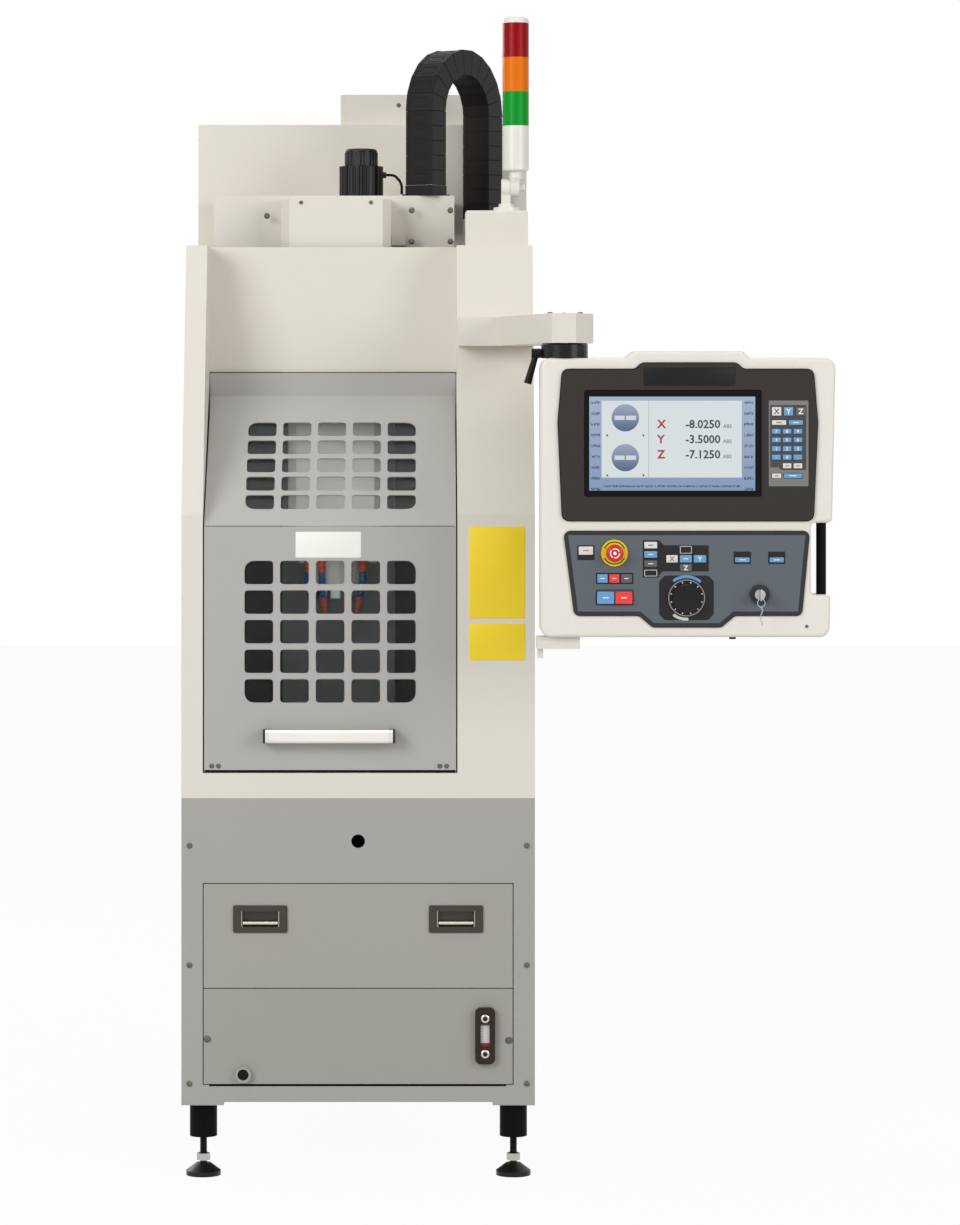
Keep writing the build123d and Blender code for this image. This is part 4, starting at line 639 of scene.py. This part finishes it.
lid_half, lid_sink, lid_thickness = chain_width / 2 - chain_cheek + 0.0005, 0.0012, 0.005
lid_face, rib_offset, rib_root = half_height - lid_sink, 0.62 * link_half, 0.0004
rib_half, rib_height, stud_radius, stud_inset = 0.0021, 0.0008, 0.0021, 0.0075
stud_profile = [(stud_radius, 0.0), (stud_radius, 0.001), (stud_radius * 0.5, 0.001)]
chain = bmesh.new()
for index in range(chain_front_links + chain_arc_links + chain_rear_links):
    placing = chain_place((index + 0.5) * chain_pitch)
    bend = 1 / chain_radius if chain_front_links <= index < chain_front_links + chain_arc_links else 0.0
    cheek = link_side(-half_height, half_height, bend)
    for side in (-1, 1):
        cheek_side = side * (chain_width / 2 - chain_cheek / 2)
        add_link_plate(chain, placing, cheek, cheek_side, chain_cheek, edge=0.0008)
    for top in (lid_face, -half_height + lid_sink + lid_thickness):
        lid = link_side(top - lid_thickness, top, bend)
        add_link_plate(chain, placing, lid, 0.0, 2 * lid_half, edge=0.0004)
    for rib_x in (-rib_offset, rib_offset):
        rib = [
            (rib_x - rib_half, lid_face - rib_root), (rib_x + rib_half, lid_face - rib_root),
            (rib_x + rib_half * 0.6, lid_face + rib_height), (rib_x - rib_half * 0.6, lid_face + rib_height),
        ]
        add_link_plate(chain, placing, rib, 0.0, 1.35 * lid_half, edge=0.0003)
    for side in (-1, 1):
        stud = placing @ Vector((0.0, lid_face - 0.0003, side * (lid_half - stud_inset)))
        add_turned(chain, stud_profile, stud, placing.col[1].xyz, sides=8)
chain_black = finish_paint("chain_black_nylon", seen(30, 27, 25), 0.42, 600.0, 0.2, 0.15, gloss=0.18)
chain_piece = new_piece("chain_links", chain, None, chain_black)
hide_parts("cable_chain")
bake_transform(chain_piece)
dress(zinc_plate, "chain_anchor")
shoe_place, shoe_foot_z, shoe_wall = chain_place(0.0), 2.139, 0.0008
flange_reach, flange_height = 0.006, 0.004
shoe_drop = shoe_place.translation.z - shoe_foot_z
shoe = bmesh.new()
for top, reach in ((-0.0004, shoe_wall), (flange_height - shoe_drop, flange_reach)):
    half = half_height + reach
    shoe_side = [(-shoe_drop, -half), (top, -half), (top, half), (-shoe_drop, half)]
    add_link_plate(shoe, shoe_place, shoe_side, 0.0, chain_width + 2 * reach, edge=0.0004)
new_piece("chain_shoe", shoe, "head", chain_black)

# Lifting door: two folded grey sheets pierced with windows and backed by clear polycarbonate, with an
# aluminium pull bar with black end caps, carried on steel cheeks that roll on rails inside the walls.
door_grey = finish_paint("door_grey_coat", seen(176, 174, 170), 0.4, 1400.0, 0.18)
clear_pane, wire, pane_shader = new_finish("clear_pane")
pane_shader.inputs["Base Color"].default_value = (0.93, 0.95, 0.95, 1.0)
pane_shader.inputs["Transmission Weight"].default_value = 1.0
pane_shader.inputs["IOR"].default_value = 1.18
(0.02 + wire.noise(wire.place(), 7.0, 4.0) * 0.05).into(pane_shader, "Roughness")
satin_aluminium = finish_metal("satin_aluminium", seen(238, 234, 227), 0.4, 8.0, 0.04, (0.02, 3.0, 3.0), 0.02)
dress(door_grey, "door_lower", "door_upper")
dress(clear_pane, "door_panes")
dress(zinc_plate, "door_carriages")
dress(ground_steel, "door_rails")
dress(satin_aluminium, "door_handle")
handle_low, handle_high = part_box("handle_brackets")
handle_half, handle_cap, handle_back = (handle_high.x - handle_low.x) / 2, 0.005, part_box("door_handle")[1].y
handle_ends = finish_metal("handle_ends", seen(228, 224, 216), 0.4, 8.0, 0.04, (0.02, 3.0, 3.0), 0.02)
wire, end_shader, end_tone = reopen(handle_ends)
end_x, end_y = wire.place().split()[:2]
end_reach = abs(end_x - middle("handle_brackets").x)
capped = wire.sum("MAXIMUM", end_reach > handle_half - handle_cap, end_y > handle_back)
capped.mix(end_tone, seen(26, 25, 24)).into(end_shader, "Base Color")
(1 - capped).into(end_shader, "Metallic")
dress(handle_ends, "handle_brackets")
door_low, door_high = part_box("door_lower")
door_front = door_low.y
door_places = [(x, door_front, 0.888) for x in (-0.3155, -0.301, 0.176, 0.1905)]
new_screws("door_screws", "door", door_places, toward, radius=0.0052)
window_middle, window_half_width, window_round, cell_round = -0.0605, 0.1846, 0.021, 0.008
door_sheet, slant = 0.003, math.atan2(0.286, 0.2812)
window_grids = (
    (0.15295, Matrix.Translation((window_middle, door_front, 1.1775))),
    (0.1335, Matrix.Translation((window_middle, front_y + 0.133, 1.5346)) @ Matrix.Rotation(-slant, 4, "X")),
)
web = []
for reach, angles in ((cell_round, range(0, 91, 15)), (window_round, range(90, -1, -10))):
    for angle in angles:
        turn = math.radians(angle)
        web.append((reach * (math.cos(turn) - 1), reach * (math.sin(turn) - 1)))
webs = bmesh.new()
for window_half_height, placing in window_grids:
    for side in (-1, 1):
        for end in (-1, 1):
            corner = [(side * (window_half_width + x), end * (window_half_height + z)) for x, z in web]
            before = set(webs.verts)
            add_plate(webs, corner, 0.0, door_sheet)
            added = [vert for vert in webs.verts if vert not in before]
            bmesh.ops.transform(webs, matrix=placing, verts=added)
new_piece("window_webs", webs, "door", door_grey)
lip_margin, lip_height, lip_proud = 0.001, 0.0042, 0.0008
lip_left, lip_right, lip_bottom = door_low.x + lip_margin, door_high.x - lip_margin, door_low.z
lip_outline = rounded(lip_left, lip_right, lip_bottom, lip_bottom + lip_height, corner=0.0008)
new_plate("door_lip", "door", black_rubber, lip_outline, door_front - lip_proud, lip_proud)
door_card_white = finish_paint("door_card_white", seen(250, 247, 241), 0.4, 300.0, 0.05)
card_outline = rounded(-0.135, 0.006, 1.3372, 1.3928, corner=0.003)
card_face = door_front - card_thickness
new_plate("door_card", "door", door_card_white, card_outline, card_face, card_thickness, edge=0.0003)

# Light tower: a white moulded body on a tilting knuckle, with three ribbed lenses in red, amber and green and
# a white cap, on a folded box.
tower_white = finish_paint("tower_white_plastic", seen(232, 229, 221), 0.32, 500.0, 0.05, 0.01)
dress(warm_white, "tower_box")
dress(tower_white, "tower_foot", "tower_body")
lens_low, lens_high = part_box("tower_lenses")
lens_third = (lens_high.z - lens_low.z) / 3
lens_colours, wire, lens_shader = new_finish("lens_colours")
lens_x, lens_z = wire.place().split()[::2]
lens_tone = (lens_z > lens_low.z + lens_third).mix(seen(10, 150, 46), seen(232, 116, 8))
lens_tone = (lens_z > lens_low.z + 2 * lens_third).mix(lens_tone, seen(150, 8, 16))
lens_tone.into(lens_shader, "Base Color")
lens_rib = wire.sum("SINE", lens_x * 2200.0)
lens_rib.bump(lens_shader, 0.12, 0.0006)
(0.16 + lens_rib * 0.03).into(lens_shader, "Roughness")
lens_shader.inputs["Specular IOR Level"].default_value = 0.1
dress(lens_colours, "tower_lenses")

# Pendant arm: a folded and welded arm from the column, coated as the enclosure, with a black swivel collar
# that turns in its end and a black clamp lever that locks it.
collar_black = finish_paint("collar_black", seen(20, 20, 21), 0.28, 400.0, 0.08, 0.1, gloss=0.25)
dress(warm_white, "pendant_arm", "lower_bracket")
dress(collar_black, "swivel_collar")
dress(black_plastic_and_shade, "clamp_lever")
arm_top, arm_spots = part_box("pendant_arm")[1].z, ((0.405, -0.27), (0.436, -0.21), (0.468, -0.27))
arm_places = [(x, front_y + depth, arm_top) for x, depth in arm_spots]
new_screws("arm_screws", "machine", arm_places, upward, radius=0.0058)

# Pendant housing: a moulded shell in the enclosure's warm white with a black grip bar across its notch, a
# black cable socket under it and one cover screw low on its face.
shell_white = finish_paint("pendant_shell", seen(233, 228, 218), 0.44, 700.0, 0.12, 0.012)
dress(shell_white, "pendant_housing")
dress(black_rubber, "grip_bar")
shell_face, shell_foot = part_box("pendant_housing")[0].yz
land_left, land_thickness = 0.443, 0.003
lands = bmesh.new()
for left, right, bottom, top in ((land_left, 0.926, 1.3965, 1.4325), (land_left, 0.462, 1.248, 1.3965)):
    add_plate(lands, [(right, bottom), (right, top), (left, top), (left, bottom)], shell_face, land_thickness)
new_piece("shell_lands", lands, "pendant", shell_white)
new_screws("shell_screw", "pendant", [(0.9388, shell_face, 1.2044)], toward, radius=0.0036)
socket_profile = [(0.0073, 0.0), (0.0073, 0.005), (0.0066, 0.006), (0.004, 0.006), (0.004, 0.003)]
socket = bmesh.new()
add_turned(socket, socket_profile, (0.7878, shell_face + 0.05, shell_foot), downward)
new_piece("cable_socket", socket, "pendant", black_plastic_and_shade)

# Screen bezel: a charcoal moulding with a thin black rim round it and a bare gloss plate let into its
# crown. A grey keypad plate with a dark field is bonded beside the screen.
charcoal = finish_paint("charcoal_bezel", seen(57, 53, 50), 0.5, 900.0, 0.15, 0.05, gloss=0.16)
dress(charcoal, "screen_bezel")
bezel_low, bezel_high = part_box("screen_bezel")
bezel_face, bezel_top, bezel_bulge, bezel_bulge_z = bezel_low.y, 1.740, 0.009, 1.6296
crown_left, crown_right, crown_ramp, bezel_corner = 0.595, 0.793, 0.013, 0.016
bezel_rim_width, bezel_rim_proud, plate_film = 0.0016, 0.0035, 0.0006
bezel_outline = softened(
    [
        (bezel_high.x - bezel_bulge, bezel_low.z), (bezel_high.x, bezel_bulge_z),
        (bezel_high.x - bezel_bulge, bezel_top), (crown_right + crown_ramp, bezel_top),
        (crown_right, bezel_high.z), (crown_left, bezel_high.z),
        (crown_left - crown_ramp, bezel_top), (bezel_low.x + bezel_bulge, bezel_top),
        (bezel_low.x, bezel_bulge_z), (bezel_low.x + bezel_bulge, bezel_low.z),
    ],
    bezel_corner,
)
bezel_rim_outline = inset(bezel_outline, -bezel_rim_width)
bezel_rim_face = shell_face - bezel_rim_proud
new_plate("bezel_black_rim", "pendant", black_rubber, bezel_rim_outline, bezel_rim_face, bezel_rim_proud, edge=0.0008)
gloss_black = finish_paint("gloss_black_plate", seen(22, 20, 20), 0.4, 300.0, 0.02, 0.05, gloss=0.25)
crown_outline = rounded(0.599, 0.789, 1.706, 1.743, corner=0.002)
crown_face = bezel_face + plate_film
new_plate("crown_plate", "pendant", gloss_black, crown_outline, crown_face, plate_film, edge=0.0002)
keypad_grey = finish_paint("keypad_plate_grey", seen(120, 119, 116), 0.45, 700.0, 0.06)
keypad_field = finish_paint("keypad_field", seen(62, 60, 60), 0.45, 700.0, 0.06)
keypad_film, field_film = 0.0003, 0.0005
field_corners = [
    (0.9372, 1.5302), (0.9372, 1.6655), (0.8622, 1.6655), (0.8622, 1.536), (0.878, 1.536), (0.8865, 1.5302),
]
keypad = bmesh.new()
keypad_outline = rounded(0.8594, 0.9418, 1.4965, 1.6748, corner=0.002)
add_plate(keypad, keypad_outline, bezel_face - keypad_film, keypad_film)
add_plate(keypad, softened(field_corners, radius=0.002), bezel_face - field_film, field_film, finish=1)
new_piece("keypad_plate", keypad, "pendant", keypad_grey, keypad_field)

# Display: a flat colour panel behind glass with a black margin. It is lit, with two round gauges, a white
# field and soft-key bars in pale blue, and it shows the three axis positions in figures.
display_glow, wire, glow_shader = new_finish("display_glow")
glow_place = wire.place()
glow_x, glow_z = glow_place.split()[::2]


def between(value, low, high):
    return (value > low) * (value < high)


picture_left, picture_right, picture_bottom, picture_top = 0.4856, 0.831, 1.4873, 1.683
field_left, field_right, field_bottom, field_top = 0.5112, 0.8031, 1.5146, 1.6745
divide_x, divide_half = 0.6091, 0.0006
picture = between(glow_x, picture_left, picture_right) * between(glow_z, picture_bottom, picture_top)
field = between(glow_x, field_left, field_right) * between(glow_z, field_bottom, field_top)
glow_fall = (glow_z - picture_bottom) / (picture_top - picture_bottom)
bar_tone = glow_fall.mix(seen(137, 157, 190), seen(168, 182, 204))
type_pitch = 0.0225
type_rows = wire.sum("SINE", glow_z * (2 * math.pi / type_pitch)) > 0.72
type_column = between(glow_x, picture_left + 0.004, field_left - 0.003)
type_column = type_column + between(glow_x, field_right + 0.005, picture_right - 0.004)
line_left, line_right, line_bottom, line_top = 0.515, 0.80, 1.4945, 1.4985
type_line = between(glow_z, line_bottom, line_top) * between(glow_x, line_left, line_right)
type_marks = (type_rows * type_column + type_line) * (wire.noise(glow_place, 520.0, 1.0) > 0.5)
bar_tone = type_marks.mix(bar_tone, seen(58, 70, 110))
divide = between(glow_x, divide_x - divide_half, divide_x + divide_half)
field_tone = divide.mix(seen(222, 229, 230), seen(176, 186, 196))
dial_x, dial_radius, label_gap, label_reach, label_half = 0.5606, 0.0284, 0.0015, 0.0225, 0.0045
dot_near, dot_far, dot_low, dot_high = 0.036, 0.0395, -0.0385, -0.035
for dial_z in (1.6389, 1.5559):
    dial_across, dial_up = glow_x - dial_x, glow_z - dial_z
    dial = dial_across * dial_across + dial_up * dial_up < dial_radius ** 2
    dial_tone = (dial_up / (2 * dial_radius) + 0.5).mix(seen(88, 104, 140), seen(158, 170, 192))
    field_tone = dial.mix(field_tone, dial_tone)
    label = between(abs(dial_across), label_gap, label_reach) * between(dial_up, -label_half, label_half)
    field_tone = label.mix(field_tone, seen(214, 220, 226))
    corner_dot = between(abs(dial_across), dot_near, dot_far) * between(dial_up, dot_low, dot_high)
    field_tone = corner_dot.mix(field_tone, seen(40, 44, 60))
picture.mix(seen(8, 8, 9), field.mix(bar_tone, field_tone)).into(glow_shader, "Emission Color")
glow_shader.inputs["Base Color"].default_value = (0.004, 0.004, 0.005, 1.0)
glow_shader.inputs["Roughness"].default_value = 0.12
glow_shader.inputs["Specular IOR Level"].default_value = 0.1
glow_shader.inputs["Emission Strength"].default_value = 0.92
dress(display_glow, "display")


def add_letters(build, words, x, z, height, front, finish=0, align="LEFT", weight=0.0):
    """Raised letters or figures on a face seen from the front."""
    line = bpy.data.curves.new("letters", "FONT")
    line.body, line.align_x, line.size = words, align, height / 0.69
    line.extrude, line.offset, line.resolution_u = 0.0001, weight, 2
    holder = bpy.data.objects.new("letters", line)
    raised = bpy.data.meshes.new_from_object(holder)
    raised.transform(Matrix.Translation((x, front, z)) @ Matrix.Rotation(math.pi / 2, 4, "X"))
    before = set(build.faces)
    build.from_mesh(raised)
    for face in build.faces:
        if face not in before:
            face.material_index = finish
    bpy.data.objects.remove(holder)
    bpy.data.meshes.remove(raised)
    bpy.data.curves.remove(line)


readout = bmesh.new()
readout_face, figure_height, unit_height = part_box("display")[0].y - 0.0001, 0.0165, 0.0075
axis_x, figures_x, unit_x = 0.6275, 0.7585, 0.7640
for axis, figures, z in (("X", "-8.0250", 1.6178), ("Y", "-3.5000", 1.5863), ("Z", "-7.1250", 1.5548)):
    add_letters(readout, axis, axis_x, z, figure_height, readout_face, 1, weight=0.0007)
    add_letters(readout, figures, figures_x, z, figure_height, readout_face, 0, "RIGHT", 0.0005)
    add_letters(readout, "ABS", unit_x, z, unit_height, readout_face, 2, weight=0.0002)
readout_ink = finish_paint("readout_ink", seen(44, 50, 58), 0.3, 300.0, 0.02)
readout_red = finish_paint("readout_red", seen(166, 38, 48), 0.3, 300.0, 0.02)
readout_grey = finish_paint("readout_grey", seen(120, 128, 132), 0.3, 300.0, 0.02)
new_piece("readout", readout, "pendant", readout_ink, readout_red, readout_grey)

# Control panel: a slate-grey membrane with a black moulded border, printed with dark fields round its key
# groups and with two arcs round the handwheel.
panel_face = shell_face - 0.003
slate = finish_paint("slate_membrane", seen(86, 93, 100), 0.5, 900.0, 0.1, 0.04)
wire, slate_shader, slate_tone = reopen(slate)
slate_x, slate_y, slate_z = wire.place().split()
panel_edge, panel_sill, panel_top, panel_dip_z = 0.0095, 1.226, 1.404, 1.202


def within_lines(corners):
    """1 where a point of the panel lies left of each line from corner to corner, by more than the border."""
    within = 1.0
    for start, end in zip(corners, corners[1:]):
        along = (Vector(end) - Vector(start)).normalized()
        within = ((slate_z - start[1]) * along.x - (slate_x - start[0]) * along.y > panel_edge) * within
    return within


panel_corners = [(0.454, panel_sill), (0.929, panel_sill), (0.946, panel_top), (0.431, panel_top)]
dip_corners = [(0.589, panel_sill), (0.617, panel_dip_z), (0.761, panel_dip_z), (0.789, panel_sill)]
dip = within_lines(dip_corners) * (slate_z < panel_sill + 0.02)
slate_shown = wire.sum("MAXIMUM", within_lines(panel_corners + panel_corners[:1]), dip)
slate_shown = slate_shown * (slate_y > panel_face - 0.0005)
slate_shown.mix(seen(22, 21, 21), slate_tone).into(slate_shader, "Base Color")
dress(slate, "control_panel")


def add_arc(build, x, z, inner_radius, outer, front, thickness, start=0.0, end=360.0, finish=0, steps=48):
    """Part of a flat ring seen from the front. The outer edge is a radius, or a function of the angle."""
    whole, back = end - start >= 360.0, front + thickness
    rows = []
    for step in range(steps if whole else steps + 1):
        angle = math.radians(start + (end - start) * step / steps)
        reach = outer(angle) if callable(outer) else outer
        section = ((inner_radius, front), (reach, front), (reach, back), (inner_radius, back))
        rows.append([
            build.verts.new((x + radius * math.cos(angle), y, z + radius * math.sin(angle)))
            for radius, y in section
        ])
    skin(build, rows + rows[:1] if whole else rows, finish, capped=not whole)


wheel_x, wheel_z, dial_half_x, dial_half_z, dial_cut, wheel_stem = 0.688, 1.264, 0.057, 0.0465, 0.012, 0.0086


def dial_edge(angle):
    """Reach of the dial's chamfered plate in a direction."""
    across, up = abs(math.cos(angle)), abs(math.sin(angle))
    flats = [(dial_half_x, across), (dial_half_z, up), (dial_half_x + dial_half_z - dial_cut, across + up)]
    return min(half / share for half, share in flats if share > 0.001)


film = 0.0002
print_face = panel_face - film
arc_inner, arc_outer, arc_face = 0.0412, 0.0472, print_face - 0.00005
stack_corners = [
    (0.6305, 1.3065), (0.6305, 1.3105), (0.639, 1.319), (0.7345, 1.319), (0.7345, 1.3735), (0.641, 1.3735),
    (0.6305, 1.384), (0.597, 1.384), (0.597, 1.3065),
]
key_fields = (
    (0.4995, 0.5775, 1.2928, 1.3162), (0.4605, 0.4968, 1.3425, 1.3735), (0.7862, 0.8222, 1.3345, 1.3605),
    (0.8582, 0.8938, 1.3345, 1.3605),
)
fields = bmesh.new()
add_arc(fields, wheel_x, wheel_z, wheel_stem, dial_edge, print_face, film, steps=96)
add_plate(fields, softened(stack_corners, radius=0.002), print_face, film)
for key_field in key_fields:
    add_plate(fields, rounded(*key_field, corner=0.0008), print_face, film)
add_rim(fields, rounded(0.4995, 0.5775, 1.2485, 1.2812, corner=0.0022), 0.0019, print_face, film)
for start, end, finish, steps in ((48.0, 128.0, 1, 20), (232.0, 275.0, 2, 12)):
    add_arc(fields, wheel_x, wheel_z, arc_inner, arc_outer, arc_face, film, start, end, finish, steps)
print_dark = finish_paint("print_dark", seen(42, 40, 41), 0.5, 700.0, 0.05, gloss=0.2)
print_blue = finish_paint("print_blue", seen(96, 148, 196), 0.5, 700.0, 0.05)
print_light = finish_paint("print_light", seen(206, 206, 204), 0.5, 700.0, 0.05)
new_piece("panel_print", fields, "pendant", print_dark, print_blue, print_light)

# Keys: silicone pads in dark frames under printed caps of blue, white, grey and red film, with figures on the
# number keys and letters on the axis keys. Start and hold are larger caps that press in.
dress(print_dark, "membrane_keys")


def key_boxes():
    """The box of each pad of the membrane keys, from the top row down and from left to right."""
    pads = bmesh.new()
    pads.from_mesh(nodes["membrane_keys"].data)
    bmesh.ops.remove_doubles(pads, verts=pads.verts[:], dist=0.00001)
    left_over, boxes = set(pads.verts), []
    while left_over:
        reached = [left_over.pop()]
        for corner in reached:
            for edge in corner.link_edges:
                other = edge.other_vert(corner)
                if other in left_over:
                    left_over.remove(other)
                    reached.append(other)
        spread = [[corner.co[axis] for corner in reached] for axis in range(3)]
        boxes.append(([min(line) for line in spread], [max(line) for line in spread]))
    pads.free()
    return sorted(boxes, key=lambda box: (-round(box[0][2] + box[1][2], 3), box[0][0]))


blue, white, grey, red, dark, ink, outlined, half_blue = range(8)
key_caps = (
    (white, "X"), (blue, "Y"), (grey, "Z"), (white, ""), (blue, ""), (blue, "7"), (blue, "8"), (blue, "9"),
    (blue, "4"), (blue, "5"), (blue, "6"), (blue, "1"), (blue, "2"), (blue, "3"), (blue, "-"), (blue, "0"),
    (blue, "."), (white, ""), (white, ""), (white, ""), (blue, ""), (white, ""), (outlined, ""), (white, ""),
    (blue, ""), (half_blue, ""), (half_blue, ""), (white, "X"), (blue, ""), (blue, "Y"), (grey, ""),
    (grey, "Z"), (outlined, ""), (blue, ""), (red, ""), (grey, ""),
)
cap_inset, cap_height, cap_round = 0.0009, 0.0005, 0.0012
ink_proud, outline_width, dash_half = 0.0001, 0.0012, 0.0009
caps = bmesh.new()
for (low, high), (tone, legend) in zip(key_boxes(), key_caps):
    x0, x1, z0, z1 = low[0] + cap_inset, high[0] - cap_inset, low[2] + cap_inset, high[2] - cap_inset
    cap_face = low[1] - cap_height
    if tone == half_blue:
        z1 = z0 + (z1 - z0) * 0.55
    cap = rounded(x0, x1, z0, z1, cap_round)
    ink_face, legend_ink = cap_face - ink_proud, grey if tone == white else ink
    add_plate(caps, cap, cap_face, cap_height, 0.0002, {outlined: white, half_blue: blue}.get(tone, tone))
    cap_x, cap_z, letter_height = (x0 + x1) / 2, (z0 + z1) / 2, min(z1 - z0, x1 - x0) * 0.62
    if tone == outlined:
        add_plate(caps, inset(cap, outline_width), ink_face, cap_height, finish=dark)
    elif legend:
        letter_z, weight = cap_z - letter_height / 2, letter_height * 0.03
        add_letters(caps, legend, cap_x, letter_z, letter_height, ink_face, legend_ink, "CENTER", weight)
    elif z1 - z0 < x1 - x0:
        dash_margin = (x1 - x0) * 0.3
        left, right = x0 + dash_margin, x1 - dash_margin
        dash = rounded(left, right, cap_z - dash_half, cap_z + dash_half, corner=0.0004)
        add_plate(caps, dash, ink_face, cap_height, finish=legend_ink)
key_tones = {
    "key_blue": (104, 156, 202), "key_white": (222, 219, 212), "key_grey": (88, 88, 90),
    "key_red": (236, 66, 58), "key_ink": (238, 240, 242),
}
key_films = {name: finish_paint(name, seen(*tone), 0.42, 700.0, 0.05) for name, tone in key_tones.items()}
key_blue, key_white, key_grey, key_red, key_ink = key_films.values()
new_piece("key_caps", caps, "pendant", key_blue, key_white, key_grey, key_red, print_dark, key_ink)
dress(key_blue, "start_button")
dress(key_red, "hold_button")
dash_half_width, dash_half_height = 0.006, 0.0012
for name, body in (("start_mark", "start_button"), ("hold_mark", "hold_button")):
    x, z = middle(body).xz
    left, right = x - dash_half_width, x + dash_half_width
    dash = rounded(left, right, z - dash_half_height, z + dash_half_height, corner=0.0005)
    new_plate(name, body, key_ink, dash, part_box(body)[0].y - ink_proud, 0.0005)

# Stop button: a red mushroom head with white turn arrows, on a yellow disc on the panel.
# Both are moulded and clip together through the panel.
stop_yellow = finish_paint("stop_yellow", seen(240, 204, 20), 0.36, 300.0, 0.03)
stop_red = finish_paint("stop_red", seen(206, 26, 26), 0.28, 300.0, 0.03)
dress(stop_yellow, "stop_ring")
dress(stop_red, "stop_button")
stop_x, stop_z = middle("stop_button").xz
stop_face, ring_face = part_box("stop_button")[0].y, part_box("stop_ring")[0].y - ink_proud
arrow_inner, arrow_outer, arrow_sweep, arrow_film = 0.0082, 0.0106, 80.0, 0.0004
tip_reach, tip_turn, tip_inner, tip_outer = 0.0094, 92.0, 0.0003, 0.0024
arrow_face, hub_profile = stop_face - film, [(0.0036, 0.0), (0.0036, 0.0003), (0.0028, 0.0005)]
arrows = bmesh.new()
for start in (20.0, 140.0, 260.0):
    end, tip = start + arrow_sweep, math.radians(start + tip_turn)
    add_arc(arrows, stop_x, stop_z, arrow_inner, arrow_outer, arrow_face, arrow_film, start, end, steps=12)
    tip_x, tip_z = stop_x + tip_reach * math.cos(tip), stop_z + tip_reach * math.sin(tip)
    add_arc(arrows, tip_x, tip_z, tip_inner, tip_outer, arrow_face, arrow_film, steps=3)
add_turned(arrows, hub_profile, (stop_x, stop_face, stop_z), toward)
new_piece("stop_arrows", arrows, "stop_button", key_ink)
ring_inner, ring_outer, ring_sweep, ink_depth = 0.0218, 0.0242, 130.0, 0.0003
ring_ink = bmesh.new()
for start in (25.0, 205.0):
    end = start + ring_sweep
    add_arc(ring_ink, stop_x, stop_z, ring_inner, ring_outer, ring_face, ink_depth, start, end, steps=20)
new_piece("stop_ring_print", ring_ink, "pendant", print_dark)

# Handwheel: a black knob on a skirt with a bright turned edge and white marks filled into the skirt, with a
# finger grip. It turns on a stem through the panel.
dial_black = finish_paint("dial_black", seen(18, 18, 18), 0.3, 400.0, 0.06, 0.1, gloss=0.3)
dress(dial_black, "handwheel")
skirt_face, skirt_mark_count = panel_face - 0.0054, 12
mark_inner, mark_outer, mark_half_turn, mark_face = 0.0312, 0.0348, 1.6, skirt_face - 0.0001
edge_inner, edge_outer, edge_depth, edge_face = 0.0364, 0.0384, 0.004, skirt_face - 0.0003
skirt = bmesh.new()
for mark in range(skirt_mark_count):
    angle = (mark + 0.5) * 360.0 / skirt_mark_count
    start, end = angle - mark_half_turn, angle + mark_half_turn
    add_arc(skirt, wheel_x, wheel_z, mark_inner, mark_outer, mark_face, ink_depth, start, end, steps=2)
add_arc(skirt, wheel_x, wheel_z, edge_inner, edge_outer, edge_face, edge_depth, finish=1)
edge_steel = finish_metal("dial_edge_steel", seen(150, 148, 144), 0.22, 20.0, 0.1)
new_piece("dial_marks", skirt, "handwheel", key_ink, edge_steel)

# Key switch: a steel lock barrel with its key in, and a split ring with a short ball chain hung from the bow.
# All of it is plated steel.
dress(zinc_plate, "switch_key")
key_low, key_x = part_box("switch_key")[0], middle("switch_key").x
ring_radius, ring_wire, ring_steps, wire_sides, ring_swing = 0.0085, 0.0009, 28, 8, math.radians(20.0)
bead_radius, bead_count, bead_steps, chain_sway = 0.0017, 11, 6, 0.002
ring_place = Vector((key_x, key_low.y + 0.004, key_low.z - 0.003))
ring_turn = Matrix.Rotation(ring_swing, 3, "Z")
key_chain = bmesh.new()
ring_rows = []
for step in range(ring_steps):
    angle = 2 * math.pi * step / ring_steps
    row = []
    for side in range(wire_sides):
        swing = 2 * math.pi * side / wire_sides
        reach = ring_radius + ring_wire * math.cos(swing)
        spot = Vector((reach * math.cos(angle), ring_wire * math.sin(swing), reach * math.sin(angle)))
        row.append(key_chain.verts.new(ring_place + ring_turn @ spot))
    ring_rows.append(row)
skin(key_chain, ring_rows + ring_rows[:1], capped=False)
bead_angles = [math.pi * row / bead_steps for row in range(bead_steps + 1)]
bead_profile = [
    (bead_radius * math.sin(angle) + 0.0001, -bead_radius * math.cos(angle)) for angle in bead_angles
]
for bead in range(bead_count):
    hang = ring_radius + bead_radius * 0.6 + bead * bead_radius * 2.1
    bead_place = ring_place + Vector((chain_sway * math.sin(bead * 0.8), 0.0, -hang))
    add_turned(key_chain, bead_profile, bead_place, upward, sides=10)
new_piece("key_chain", key_chain, "switch_key", zinc_plate)

scene.view_settings.view_transform = "Standard"
